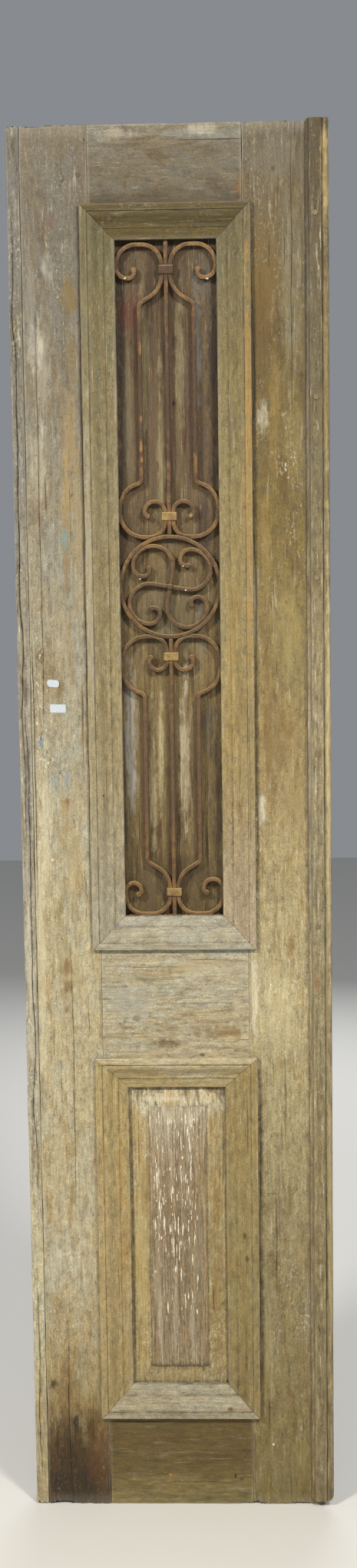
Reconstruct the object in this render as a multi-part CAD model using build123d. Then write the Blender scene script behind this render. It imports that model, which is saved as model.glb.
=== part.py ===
from build123d import *
import math
import os

# Inactive leaf of an old pair of French doors: a pegged and wedged pine frame, a raised and fielded
# panel below, a forged iron grille above with a boarded shutter behind it, a cover strip along the
# meeting edge, and the surface bolts and lift-off hinges that such a leaf carries on its inside.
# Millimetres. X runs to the right seen from outside, +Y into the house, +Z up. The origin is on the
# bottom face, midway between the stiles and midway through the thickness.

# Leaf frame
leaf_height = 2350.0
leaf_thickness = 44.0
daylight_width = 250.0
hinge_stile_width = 110.0
meeting_stile_width = 127.0
bottom_rail_height = 174.0
middle_rail_height = 216.0
middle_rail_bottom = 792.0
top_rail_height = 139.0

# Joinery
tenon_thickness = 14.0
tenon_shoulder = 16.0
joint_clearance = 0.15
wedge_length = 48.0
wedge_thick_end = 6.0
wedge_thin_end = 1.0
groove_depth = 12.0
groove_width = 9.0
peg_radius = 4.5
hinge_side_pegs = ((15.0, 62.0), (42.0, 57.0))
meeting_side_pegs = ((51.0, 65.0),)

# Lipping along the hinge edge and cover strip along the meeting edge
lipping_width = 21.0
lipping_gap = 0.6
lipping_low_nail_count = 2
lipping_high_nail_count = 3
lipping_nail_hold = 18.0
strip_width = 38.0
strip_overlap = 24.0
strip_thickness = 12.0
strip_cove = 6.5
strip_cove_height = 8.0
strip_cove_radius = 8.5
strip_bead = 11.5
strip_quirk_width = 1.6
strip_quirk_depth = 2.0
strip_horn = 2.0
strip_foot = 9.0
strip_foot_radius = 14.0
strip_head_radius = 5.0
strip_nail_count = 8
strip_nail_hold = 13.0

# Bolection mouldings
mould_width = 56.0
mould_overlap = 14.0
mould_proud = 9.0
mould_band = 11.5
mould_quirk = 2.6
mould_ogee_end = 38.0
mould_ogee_drop = 4.5
mould_swell = 2.0
mould_swell_share = 0.42
mould_tail = 0.4
mould_tail_share = 0.52
mould_inner_step = 1.2
mould_inner_drop = 9.5
mould_nose_radius = 1.8
mould_edge_radius = 1.6
mould_back = 17.0
mould_side_play = 0.5
mitre_gap = 0.35
pin_radius = 1.1
pin_depth = 12.0
pin_sink = 0.4
pin_spacing = 500.0

# Fielded panel
panel_tongue = 8.0
panel_play = 1.5
panel_rise = 9.0
panel_bevel = 31.0
panel_field_step = 1.8
panel_border = 2.0

# Grille of forged bar
bar_width = 7.0
bar_depth = 10.0
bar_play = 0.3
grille_drop = 4.0
modules_across = 17.3
collar_end_distance = 85.0
collar_ring_gap = 30.0
collar_height = 15.0
collar_wall = 2.2
collar_play = 0.15
collar_round = 2.0
touch_gap = 0.3
bell_turn = 58.0
lobe_turn = 75.0
ring_bite = 3.0
upper_scroll_eye_turn = 70.0
lower_scroll_eye_turn = 50.0
upper_curl_eye_turn = 100.0
upper_curl_end_turn = 105.0
lower_curl_eye_turn = 185.0
lower_curl_end_turn = 70.0
eye_radius = 4.6
s_scroll_heading = 80.0
s_scroll_end_turn = 110.0
socket_depth = 12.0
rivet_radius = 2.0
rivet_head_radius = 5.2
rivet_head_height = 2.6
rivet_head_round = 1.8
rivet_tail_radius = 3.9
rivet_tail_height = 1.5
lug_height = 18.0
lug_thickness = 3.0
lug_length = 37.5
lug_side_play = 1.0
lug_screw_hold = 4.5
weld_gap = 0.05

# Shutter behind the grille
shutter_play = 2.0
shutter_thickness = 14.0
board_gap = 0.4
ledge_thickness = 16.0
ledge_width = 90.0
ledge_inset = 25.0
ledge_end_distance = 110.0
ledge_chamfer = 3.0
shutter_nail_inset = 22.0
shutter_nail_stagger = 18.0
nail_point_cover = 2.0
nail_radius = 1.5
nail_head_radius = 4.0
nail_head_height = 1.4

# Butt hinges of the shutter
butt_height = 66.0
butt_leaf_width = 24.0
butt_leaf_thickness = 2.0
butt_barrel_radius = 4.5
butt_pin_radius = 2.5
butt_pin_head = 2.0
butt_screw_inset = 13.0
butt_end_distance = 235.0
running_clearance = 0.05
knuckle_gap = 0.2

# Turn buttons
button_length = 62.0
button_width = 22.0
button_thickness = 13.0
button_from_edge = 18.0
button_end_distance = 330.0
button_pivot_radius = 2.4
button_chamfer = 2.0
pivot_depth = 22.0
pivot_head_radius = 4.8
pivot_head_height = 2.4
pivot_head_round = 1.4

# Lift-off hinge halves of the leaf
barrel_radius = 8.0
barrel_bore_radius = 5.0
barrel_length = 54.0
barrel_from_edge = 9.0
hinge_plate_width = 58.0
hinge_plate_height = 86.0
hinge_plate_thickness = 3.0
hinge_plate_corner = 8.0
hinge_screw_columns = (26.0, 46.0)
hinge_screw_rise = 28.5
hinge_end_distance = 260.0
seat_gap = 0.3

# Surface bolts
bolt_radius = 6.0
bolt_length = 430.0
bolt_setback = 6.0
bolt_stand_off = 9.0
bolt_from_edge = 52.0
guide_height = 18.0
guide_wall = 3.0
guide_flange = 9.0
guide_flange_thickness = 2.5
guide_count = 3
guide_play = 0.3
guide_end_inset = 26.0
guide_spacing = 170.0
knob_radius = 8.5
knob_neck_radius = 4.0
knob_neck_length = 9.0
knob_sink = 3.4
bolt_tip_chamfer = 1.5

# Screws
screw_radius = 1.8
screw_head_radius = 3.8
screw_head_height = 2.0
screw_length = 17.0
screw_play = 0.05
small_screw_head_height = 1.6
shutter_screw_cover = 3.0

# How far a cutting shape runs past the face that it leaves
run_out = 1.0

# Places that follow from the sizes
front_y = -leaf_thickness / 2
back_y = leaf_thickness / 2
half_daylight = daylight_width / 2
hinge_stile_left = -half_daylight - hinge_stile_width
meeting_edge = half_daylight + meeting_stile_width
lipping_right = hinge_stile_left - lipping_gap
hinge_edge = lipping_right - lipping_width
middle_rail_top = middle_rail_bottom + middle_rail_height
top_rail_bottom = leaf_height - top_rail_height
mould_back_y = front_y + mould_back
bar_front_y = mould_back_y + bar_play
bar_back_y = bar_front_y + bar_depth
opening_half = half_daylight + mould_overlap - mould_width
grille_centre_z = (middle_rail_top + top_rail_bottom) / 2 - grille_drop
strip_left = meeting_edge - strip_overlap
strip_right = strip_left + strip_width

parts = {}


def block(x, y, z):
    """Box between two limits on each axis."""
    return Pos(x[0], y[0], z[0]) * Box(
        x[1] - x[0], y[1] - y[0], z[1] - z[0], align=(Align.MIN, Align.MIN, Align.MIN)
    )


def rod_y(radius, x, y, z):
    """Cylinder along Y between two depths."""
    return Pos(x, (y[0] + y[1]) / 2, z) * Rot(90, 0, 0) * Cylinder(radius, y[1] - y[0])


def rod_z(radius, x, y, z):
    """Cylinder along Z between two heights."""
    return Pos(x, y, (z[0] + z[1]) / 2) * Cylinder(radius, z[1] - z[0])


def front_prism(sketch, y):
    """Flat XZ sketch, drawn as X and Y, given thickness between two depths."""
    plane = Plane(origin=(0, y[1], 0), x_dir=(1, 0, 0), z_dir=(0, -1, 0))
    return extrude(plane * sketch, amount=y[1] - y[0])


def group(solids):
    """Separate like pieces kept together as one node."""
    return Compound(children=[s for item in solids for s in item.solids()])


# Fasteners: each returns the piece, and with play the hole that takes it


def screw(x, z, face_y, into, play=0.0):
    """Round-headed screw whose head sits on a face and whose shank goes into +Y or -Y."""
    tip = face_y + into * (screw_length + play)
    shank = rod_y(screw_radius + play, x, sorted((face_y, tip)), z)
    if play:
        return shank
    dome_height = screw_head_height
    sphere_radius = (screw_head_radius**2 + dome_height**2) / (2 * dome_height)
    centre_y = face_y + into * (sphere_radius - dome_height)
    dome = Pos(x, centre_y, z) * Sphere(sphere_radius)
    side = sorted((face_y, face_y - into * dome_height))
    reach = screw_head_radius * 2
    return shank + (dome & block((x - reach, x + reach), side, (z - reach, z + reach)))


def nail(x, z, face_y, into, length, play=0.0):
    """Cut nail with a flat head on a face."""
    tip = face_y + into * (length + play)
    shank = rod_y(nail_radius + play, x, sorted((face_y, tip)), z)
    if play:
        return shank
    head = sorted((face_y, face_y - into * nail_head_height))
    return shank + rod_y(nail_head_radius, x, head, z)


# Frame of the leaf: rails with through tenons, stiles with mortises, wedges and pegs

rails = {
    "bottom_rail": (0.0, bottom_rail_height),
    "middle_rail": (middle_rail_bottom, middle_rail_top),
    "top_rail": (top_rail_bottom, leaf_height),
}
tenon_y = (-tenon_thickness / 2, tenon_thickness / 2)
mortise_y = (tenon_y[0] - joint_clearance, tenon_y[1] + joint_clearance)
sides = {
    "hinge": (-1, half_daylight, half_daylight + hinge_stile_width),
    "meeting": (1, half_daylight, meeting_edge),
}


def tenon_range(rail):
    low, high = rails[rail]
    return low + tenon_shoulder, high - tenon_shoulder


def wedge(side, z_edge, away, play=0.0):
    """Wedge between a tenon's edge and the mortise, thick end at the stile's outer face."""
    sign, _, outer = sides[side]
    deep = outer - wedge_length
    points = [
        (sign * outer, z_edge - away * play),
        (sign * outer, z_edge + away * (wedge_thick_end + play)),
        (sign * deep, z_edge + away * (wedge_thin_end + play)),
        (sign * deep, z_edge - away * play),
    ]
    return front_prism(make_face(Polyline(*points, close=True)), (tenon_y[0] - play, tenon_y[1] + play))


def mortise(side, rail):
    sign, inner, outer = sides[side]
    low, high = tenon_range(rail)
    across = sorted((sign * inner, sign * outer))
    hole = block(across, mortise_y, (low - joint_clearance, high + joint_clearance))
    return hole + wedge(side, high + joint_clearance, 1, joint_clearance) + wedge(
        side, low - joint_clearance, -1, joint_clearance
    )


def peg_places(side):
    sign, inner, _ = sides[side]
    offsets = hinge_side_pegs if side == "hinge" else meeting_side_pegs
    return [(sign * (inner + across), top_rail_bottom + up) for across, up in offsets]


all_pegs = peg_places("hinge") + peg_places("meeting")


def make_rail(name):
    low, high = rails[name]
    rail = block((-half_daylight, half_daylight), (front_y, back_y), (low, high))
    reach = (-sides["hinge"][2], sides["meeting"][2])
    return rail + block(reach, tenon_y, tenon_range(name))


def peg(place, play=0.0):
    return rod_y(peg_radius + play, place[0], (front_y, back_y), place[1])


groove_y = (-groove_width / 2, groove_width / 2)
groove_z = (bottom_rail_height - groove_depth, middle_rail_bottom + groove_depth)


def make_stile(side):
    sign, inner, outer = sides[side]
    stile = block(sorted((sign * inner, sign * outer)), (front_y, back_y), (0.0, leaf_height))
    for rail in rails:
        stile -= mortise(side, rail)
    groove = block(sorted((sign * inner, sign * (inner + groove_depth))), groove_y, groove_z)
    stile -= groove
    for place in peg_places(side):
        stile -= peg(place, joint_clearance)
    return stile


parts["hinge_stile"] = make_stile("hinge")
parts["meeting_stile"] = make_stile("meeting")
for rail_name in rails:
    parts[rail_name] = make_rail(rail_name)
for place in all_pegs:
    parts["top_rail"] -= peg(place, joint_clearance)
panel_slot = block((-half_daylight, half_daylight), groove_y, groove_z)
parts["bottom_rail"] -= panel_slot
parts["middle_rail"] -= panel_slot
parts["tenon_wedges"] = group(
    wedge(side, z + away * joint_clearance, away)
    for side in sides
    for rail in rails
    for z, away in ((tenon_range(rail)[1], 1), (tenon_range(rail)[0], -1))
)
parts["top_joint_pegs"] = group(peg(place) for place in all_pegs)

# Lipping that pads out the hinge edge, nailed through its edge

lipping = block((hinge_edge, lipping_right), (front_y, back_y), (0.0, leaf_height))
lipping_nail_length = lipping_width + lipping_gap + lipping_nail_hold


def lipping_nail(z, play=0.0):
    length = lipping_nail_length + play
    shank = Pos(hinge_edge + length / 2, 0, z) * Rot(0, 90, 0) * Cylinder(nail_radius + play, length)
    head_depth = nail_head_height + play
    head = Pos(hinge_edge + head_depth / 2, 0, z) * Rot(0, 90, 0) * Cylinder(
        nail_head_radius + play, head_depth
    )
    return shank + head


def spread_between(low, high, count):
    return [low + (i + 0.5) * (high - low) / count for i in range(count)]


lipping_nail_z = spread_between(bottom_rail_height, middle_rail_bottom, lipping_low_nail_count)
lipping_nail_z += spread_between(middle_rail_top, top_rail_bottom, lipping_high_nail_count)
for z in lipping_nail_z:
    lipping -= lipping_nail(z, screw_play)
    parts["hinge_stile"] -= lipping_nail(z, screw_play)
parts["edge_lipping"] = lipping
parts["lipping_nails"] = group(lipping_nail(z) for z in lipping_nail_z)


# Cover strip: cove against the stile, flat band, quirk and bead


def strip_section():
    """Section across the strip, X across and Y standing proud of the stile."""
    top = strip_thickness
    bead_left = strip_width - strip_bead
    quirk_left = bead_left - strip_quirk_width
    bead_radius = strip_bead / 2
    bead_base = top - bead_radius
    cove_top = (strip_cove, top)
    cove_foot = (0.0, top - strip_cove_height)
    quirk_floor = top - strip_quirk_depth
    outline = [
        Line((0, 0), cove_foot),
        RadiusArc(cove_foot, cove_top, strip_cove_radius),
        Line(cove_top, (quirk_left, top)),
        Line((quirk_left, top), (quirk_left, quirk_floor)),
        Line((quirk_left, quirk_floor), (bead_left, quirk_floor)),
        Line((bead_left, quirk_floor), (bead_left, bead_base)),
        ThreePointArc((bead_left, bead_base), (bead_left + bead_radius, top), (strip_width, bead_base)),
        Line((strip_width, bead_base), (strip_width, 0)),
        Line((strip_width, 0), (0, 0)),
    ]
    return make_face(outline)


def strip_outline():
    """Front outline of the strip: a rounded head, and a worn, rounded foot at its free edge."""
    low, high = strip_foot, leaf_height + strip_horn
    corners = [(strip_left, low), (strip_right, low), (strip_right, high), (strip_left, high)]
    face = make_face(Polyline(*corners, close=True))
    foot = face.vertices().group_by(Axis.Y)[0].sort_by(Axis.X)[-1]
    face = fillet(foot, strip_foot_radius)
    return fillet(face.vertices().group_by(Axis.Y)[-1], strip_head_radius)


strip_plane = Plane(origin=(strip_left, front_y, 0), x_dir=(1, 0, 0), z_dir=(0, 0, 1))
strip_blank = extrude(strip_plane * mirror(strip_section(), about=Plane.XZ), amount=leaf_height + strip_horn)
strip_field = front_prism(strip_outline(), (front_y - strip_thickness, front_y))
parts["cover_strip"] = strip_blank & strip_field
strip_nail_x = strip_left + (strip_cove + strip_overlap) / 2
strip_nail_z = spread_between(strip_foot, leaf_height, strip_nail_count)
strip_nail_length = strip_thickness + strip_nail_hold
for z in strip_nail_z:
    hole = nail(strip_nail_x, z, front_y - strip_thickness, 1, strip_nail_length, screw_play)
    parts["cover_strip"] -= hole
    parts["meeting_stile"] -= hole
parts["cover_strip_nails"] = group(
    nail(strip_nail_x, z, front_y - strip_thickness, 1, strip_nail_length) for z in strip_nail_z
)


# Bolection mouldings: one section, mitred at the corners, pinned through the outer band


def mould_section():
    """Section with X from the outer edge towards the opening and Y standing proud of the stile."""
    top = mould_proud
    shoulder = mould_edge_radius
    quirk_floor = top - mould_quirk
    ogee_foot = -mould_ogee_drop
    inner_start = ogee_foot - mould_inner_step
    nose = mould_nose_radius
    tongue = mould_overlap + mould_side_play
    reach = mould_ogee_end - mould_band
    return make_face(
        [
            Line((0, 0), (0, top - shoulder)),
            RadiusArc((0, top - shoulder), (shoulder, top), shoulder),
            Line((shoulder, top), (mould_band - shoulder / 2, top)),
            RadiusArc((mould_band - shoulder / 2, top), (mould_band, top - shoulder / 2), shoulder / 2),
            Line((mould_band, top - shoulder / 2), (mould_band, quirk_floor)),
            Bezier(
                (mould_band, quirk_floor),
                (mould_band + reach * mould_swell_share, quirk_floor + mould_swell),
                (mould_band + reach * mould_tail_share, ogee_foot + mould_tail),
                (mould_ogee_end, ogee_foot),
            ),
            Line((mould_ogee_end, ogee_foot), (mould_ogee_end, inner_start)),
            Line((mould_ogee_end, inner_start), (mould_width - nose, -mould_inner_drop)),
            RadiusArc((mould_width - nose, -mould_inner_drop), (mould_width, -mould_inner_drop - nose), nose),
            Line((mould_width, -mould_inner_drop - nose), (mould_width, -mould_back)),
            Line((mould_width, -mould_back), (tongue, -mould_back)),
            Line((tongue, -mould_back), (tongue, 0)),
            Line((tongue, 0), (0, 0)),
        ]
    )


mould_face = mould_section()


def mould_member(length, middle, turn):
    """One mitred member: made as the bottom one, then turned about Y into its place."""
    run = length / 2
    section_plane = Plane(origin=(-run, 0, 0), x_dir=(0, 0, 1), z_dir=(1, 0, 0))
    blank = extrude(section_plane * mould_face, amount=length)
    end = run - mitre_gap
    mitred = Polyline(
        (-end, 0), (end, 0), (end - mould_width, mould_width), (mould_width - end, mould_width), close=True
    )
    trim = front_prism(make_face(mitred), (-mould_proud - run_out, mould_back + run_out))
    return Pos(*middle) * Rot(0, turn, 0) * (blank & trim)


def pin(x, z, play=0.0):
    depth = front_y + pin_depth + play
    return rod_y(pin_radius + play, x, (front_y - mould_proud + pin_sink, depth), z)


def mould_frame(prefix, low_z, high_z):
    """Four members round an opening between two rails, and the places of their pins."""
    half = half_daylight + mould_overlap
    low, high = low_z - mould_overlap, high_z + mould_overlap
    middle_z = (low + high) / 2
    height = high - low
    turns = {
        "bottom": (2 * half, (0, front_y, low), 0),
        "top": (2 * half, (0, front_y, high), 180),
        "left": (height, (-half, front_y, middle_z), 90),
        "right": (height, (half, front_y, middle_z), -90),
    }
    band = mould_band / 2
    pin_rows = 2 + round(height / pin_spacing)
    spread = height - 2 * mould_width
    ups = [low + mould_width + spread * i / (pin_rows - 1) for i in range(pin_rows)]
    pins = [(s * (half - band), z) for s in (-1, 1) for z in ups]
    pins += [(s * half_daylight / 2, z) for s in (-1, 1) for z in (low + band, high - band)]
    for side, (length, middle, turn) in turns.items():
        member = mould_member(length, middle, turn)
        for x, z in pins:
            member -= pin(x, z, screw_play)
        parts[prefix + "_mould_" + side] = member
    return pins


all_pins = mould_frame("grille", middle_rail_top, top_rail_bottom)
all_pins += mould_frame("panel", bottom_rail_height, middle_rail_bottom)
for node in ("hinge_stile", "meeting_stile", "top_rail", "middle_rail", "bottom_rail"):
    for x, z in all_pins:
        parts[node] -= pin(x, z, screw_play)
parts["moulding_pins"] = group(pin(x, z) for x, z in all_pins)


# Raised and fielded panel, floating in the grooves


def make_panel():
    half_x = half_daylight + groove_depth - panel_play
    low = bottom_rail_height - groove_depth + panel_play
    high = middle_rail_bottom + groove_depth - panel_play
    middle_z = (low + high) / 2
    panel = block((-half_x, half_x), (-panel_tongue / 2, panel_tongue / 2), (low, high))
    rise_x = opening_half - panel_border
    opening_height = middle_rail_bottom - bottom_rail_height - 2 * (mould_width - mould_overlap)
    rise_z = opening_height / 2 - panel_border
    step = panel_field_step
    rectangles = [
        (rise_x, rise_z, -panel_tongue / 2),
        (rise_x - panel_bevel, rise_z - panel_bevel, -panel_tongue / 2 - panel_rise + step),
    ]
    faces = [
        Plane(origin=(0, y, middle_z), x_dir=(1, 0, 0), z_dir=(0, -1, 0)) * Rectangle(2 * x, 2 * z)
        for x, z, y in rectangles
    ]
    panel += loft(faces, ruled=True)
    field_x, field_z, field_y = rectangles[1]
    inset = step / 2
    field = block(
        (inset - field_x, field_x - inset),
        (field_y - step, field_y),
        (middle_z - field_z + inset, middle_z + field_z - inset),
    )
    return panel + field


parts["fielded_panel"] = make_panel()


# Grille: bars bent from straight runs and tangent arcs, drawn as X and Z. The scrolls are drawn on
# one module, so that they fill the width that the lugs leave.

ring_outer = half_daylight - lug_side_play - lug_length
ring_radius = ring_outer - bar_width / 2
module = ring_outer / modules_across
bar_pitch = bar_width
side_run_x = 9.0 * module
upper_bell_radius = 8.4 * module
lower_bell_radius = 7.6 * module
elbow_radius = 1.8 * module
lobe_radius = 8.2 * module
neck_radius = 5.0 * module
upper_lobe_flat = 1.4 * module
lower_lobe_flat = 2.8 * module
upper_scroll_radius = 3.4 * module
lower_scroll_radius = 3.0 * module
small_scroll_eye = 1.6 * module
curl_span = 15.0 * module
upper_curl_radius = 6.6 * module
upper_curl_rise = 0.4 * module
upper_curl_eye = 3.8 * module
upper_curl_end = 1.9 * module
lower_curl_radius = 6.1 * module
left_curl_rise = 2.0 * module
left_curl_eye = 2.6 * module
right_curl_rise = 2.6 * module
right_curl_eye = 3.2 * module
lower_curl_end = 1.4 * module
s_scroll_run = 5.8 * module
s_scroll_radius = 6.7 * module
s_scroll_curl = 3.4 * module
s_scroll_end = 2.0 * module
collar_outer_offset = (top_rail_bottom - middle_rail_top) / 2 - collar_end_distance
collar_inner_offset = ring_outer + collar_ring_gap


def run(length):
    return ("run", length)


def bend(radius, degrees):
    """Bend to the left for positive degrees, to the right for negative ones."""
    return ("bend", radius, degrees)


def back_along(moves):
    """The same moves walked from the far end."""
    return [m if m[0] == "run" else bend(m[1], -m[2]) for m in reversed(moves)]


def walk(start, heading, moves, shift=0.0):
    """Edges along the moves, at a sideways shift to the left, with the end point and heading."""
    angle = math.radians(heading)
    x = start[0] - math.sin(angle) * shift
    z = start[1] + math.cos(angle) * shift
    edges = []
    for move in moves:
        direction = (math.cos(math.radians(heading)), math.sin(math.radians(heading)))
        if move[0] == "run":
            edge = Line((x, z), (x + direction[0] * move[1], z + direction[1] * move[1]))
        else:
            radius = move[1] - math.copysign(shift, move[2] * shift)
            edge = JernArc((x, z), direction, radius, move[2])
            heading += move[2]
        edges.append(edge)
        x, z = (edge @ 1).X, (edge @ 1).Y
    return edges, (x, z), heading


def bar_face(start, heading, moves):
    """Flat outline of a bar of even width along the moves."""
    half = bar_width / 2
    left, left_end, _ = walk(start, heading, moves, half)
    right, right_end, _ = walk(start, heading, moves, -half)
    caps = [Line(left_end, right_end), Line(right[0] @ 0, left[0] @ 0)]
    return make_face(left + right + caps)


def bar_solid(face):
    return front_prism(face, (bar_front_y, bar_back_y))


def eye(place):
    """Thickened end of a scroll."""
    return rod_y(eye_radius, place[0], (bar_front_y, bar_back_y), place[1])


def lobe_seat():
    """Height of the lobe's lowest centre line above the ring's centre, let into the bar by the bite."""
    neck_x = bar_pitch + neck_radius
    reach = neck_radius + bar_width / 2
    flat = (ring_outer**2 - neck_x**2) ** 0.5 + bar_width / 2
    curved = ((ring_outer + reach) ** 2 - neck_x**2) ** 0.5 - neck_radius
    return max(flat, curved) - ring_bite


def scroll_bar_moves(curl, bell_radius, lobe_flat, scroll_radius, end_turn):
    """Moves of a right-hand upper bar from its outer curl down to its small scroll."""
    bell = math.radians(bell_turn)
    out = side_run_x - bar_pitch
    bell_run = (out - (bell_radius + elbow_radius) * (1 - math.cos(bell))) / math.sin(bell)
    bell_drop = (bell_radius + elbow_radius) * math.sin(bell) + bell_run * math.cos(bell)
    lobe = math.radians(lobe_turn)
    lobe_x = side_run_x + elbow_radius * (1 - math.cos(lobe)) - lobe_radius * math.cos(lobe)
    lobe_rise = (lobe_radius + elbow_radius) * math.sin(lobe)
    lobe_middle = lobe_seat() + lobe_radius + lobe_flat
    collar_bottom = collar_outer_offset - collar_height / 2
    side_run = collar_bottom - bell_drop - lobe_middle - lobe_rise
    neck_top = lobe_seat() + neck_radius
    rise_to_scroll = collar_inner_offset + collar_height / 2 - neck_top
    down = [
        run(collar_height),
        bend(bell_radius, bell_turn),
        run(bell_run),
        bend(elbow_radius, -bell_turn),
        run(side_run),
        bend(elbow_radius, lobe_turn),
        bend(lobe_radius, -lobe_turn),
        run(lobe_flat),
        bend(lobe_radius, -90),
        run(lobe_x - bar_pitch - neck_radius),
        bend(neck_radius, -90),
        run(rise_to_scroll),
        bend(scroll_radius, -180),
        bend(small_scroll_eye, -end_turn),
    ]
    top = (bar_pitch, collar_outer_offset + collar_height / 2)
    _, curl_end, curl_heading = walk(top, 90, curl)
    return curl_end, curl_heading + 180, back_along(curl) + down


def outer_curl(radius, rise, eye_bend, eye_turn, end_bend, end_turn):
    """Moves of a curl from its collar out to its end."""
    return [
        bend(radius, -90),
        run(curl_span - 2 * radius),
        bend(radius, -90),
        run(rise),
        bend(eye_bend, -eye_turn),
        bend(end_bend, -end_turn),
    ]


upper_curl = outer_curl(
    upper_curl_radius,
    upper_curl_rise,
    upper_curl_eye,
    upper_curl_eye_turn,
    upper_curl_end,
    upper_curl_end_turn,
)
left_curl = outer_curl(
    lower_curl_radius,
    left_curl_rise,
    left_curl_eye,
    lower_curl_eye_turn,
    lower_curl_end,
    lower_curl_end_turn,
)
right_curl = outer_curl(
    lower_curl_radius,
    right_curl_rise,
    right_curl_eye,
    lower_curl_eye_turn,
    lower_curl_end,
    lower_curl_end_turn,
)
upper_body = (upper_bell_radius, upper_lobe_flat, upper_scroll_radius, upper_scroll_eye_turn)
lower_body = (lower_bell_radius, lower_lobe_flat, lower_scroll_radius, lower_scroll_eye_turn)


def scroll_bar(curl, body, across, up):
    """Scroll bar for one quarter of the grille, filed to the ring: across and up are 1 or -1."""
    start, heading, moves = scroll_bar_moves(curl, *body)
    _, end, _ = walk(start, heading, moves)
    shape = bar_solid(bar_face(start, heading, moves)) + eye(start) + eye(end)
    shape -= rod_y(ring_outer + touch_gap, 0, (bar_front_y - run_out, bar_back_y + run_out), 0)
    if across < 0:
        shape = mirror(shape, about=Plane.YZ)
    if up < 0:
        shape = mirror(shape, about=Plane.XY)
    return Pos(0, 0, grille_centre_z) * shape


parts["scroll_bar_upper_left"] = scroll_bar(upper_curl, upper_body, -1, 1)
parts["scroll_bar_upper_right"] = scroll_bar(upper_curl, upper_body, 1, 1)
parts["scroll_bar_lower_left"] = scroll_bar(left_curl, lower_body, -1, -1)
parts["scroll_bar_lower_right"] = scroll_bar(right_curl, lower_body, 1, -1)

centre_bar_x = (-bar_width / 2, bar_width / 2)
upper_bar_z = (grille_centre_z + ring_outer + touch_gap, top_rail_bottom + socket_depth)
lower_bar_z = (middle_rail_top - socket_depth, grille_centre_z - ring_outer - touch_gap)
parts["centre_bar_upper"] = block(centre_bar_x, (bar_front_y, bar_back_y), upper_bar_z)
parts["centre_bar_lower"] = block(centre_bar_x, (bar_front_y, bar_back_y), lower_bar_z)


def socket(z):
    x = (centre_bar_x[0] - joint_clearance, centre_bar_x[1] + joint_clearance)
    return block(x, (bar_front_y - joint_clearance, bar_back_y + joint_clearance), z)


parts["top_rail"] -= socket((top_rail_bottom, upper_bar_z[1] + joint_clearance))
parts["middle_rail"] -= socket((lower_bar_z[0] - joint_clearance, middle_rail_top))

ring_face = Circle(ring_outer) - Circle(ring_radius - bar_width / 2)
parts["grille_ring"] = Pos(0, 0, grille_centre_z) * bar_solid(ring_face)


def s_scroll():
    """S-scroll about the grille's centre, from one curl to the other, filed to fit inside the ring."""
    half = [
        run(s_scroll_run),
        bend(s_scroll_radius, 270 - s_scroll_heading),
        bend(s_scroll_curl, 90),
        bend(s_scroll_end, s_scroll_end_turn),
    ]
    _, end, end_heading = walk((0, 0), s_scroll_heading, half)
    face = bar_face(end, end_heading + 180, back_along(half) + half)
    shape = bar_solid(face) + eye(end) + eye((-end[0], -end[1]))
    inside = ring_outer - bar_width - touch_gap
    return shape & rod_y(inside, 0, (bar_front_y - run_out, bar_back_y + run_out), 0)


def lap_notch(heading, y):
    """Notch across an S-scroll where the other one crosses it."""
    size = bar_width + 2 * joint_clearance
    notch = Box(size, y[1] - y[0], 2 * size)
    return Pos(0, (y[0] + y[1]) / 2, 0) * Rot(0, -heading, 0) * notch


lap_y = (bar_front_y + bar_back_y) / 2
scroll_blank = s_scroll()
front_scroll = scroll_blank - lap_notch(s_scroll_heading, (lap_y, bar_back_y + run_out))
back_scroll = scroll_blank - lap_notch(s_scroll_heading, (bar_front_y - run_out, lap_y))
rivet_hole = rod_y(rivet_radius + screw_play, 0, (bar_front_y - run_out, bar_back_y + run_out), 0)
parts["s_scroll_upright"] = Pos(0, 0, grille_centre_z) * (front_scroll - rivet_hole)
parts["s_scroll_level"] = Pos(0, 0, grille_centre_z) * Rot(0, 90, 0) * (back_scroll - rivet_hole)


def crossing_rivet():
    shank = rod_y(rivet_radius, 0, (bar_front_y, bar_back_y), 0)
    head = rod_y(rivet_head_radius, 0, (bar_front_y - rivet_head_height, bar_front_y), 0)
    head = fillet(head.edges().group_by(Axis.Y)[0], rivet_head_round)
    tail = rod_y(rivet_tail_radius, 0, (bar_back_y, bar_back_y + rivet_tail_height), 0)
    return Pos(0, 0, grille_centre_z) * (shank + head + tail)


parts["crossing_rivet"] = crossing_rivet()


def collar(offset):
    """Collar wrapped round the centre bar and the two scroll bars beside it."""
    bundle_x = bar_pitch + bar_width / 2 + collar_play
    bundle_y = bar_depth / 2 + collar_play
    outer = Box(2 * (bundle_x + collar_wall), 2 * (bundle_y + collar_wall), collar_height)
    outer = fillet(outer.edges(), collar_round)
    hole = Box(2 * bundle_x, 2 * bundle_y, 2 * collar_height)
    return Pos(0, lap_y, grille_centre_z + offset) * (outer - hole)


collars = {
    "collar_top": collar_outer_offset,
    "collar_above_ring": collar_inner_offset,
    "collar_below_ring": -collar_inner_offset,
    "collar_bottom": -collar_outer_offset,
}
for collar_name, offset in collars.items():
    parts[collar_name] = collar(offset)

# Lugs welded to the grille's sides and screwed to the back of the mouldings

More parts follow.
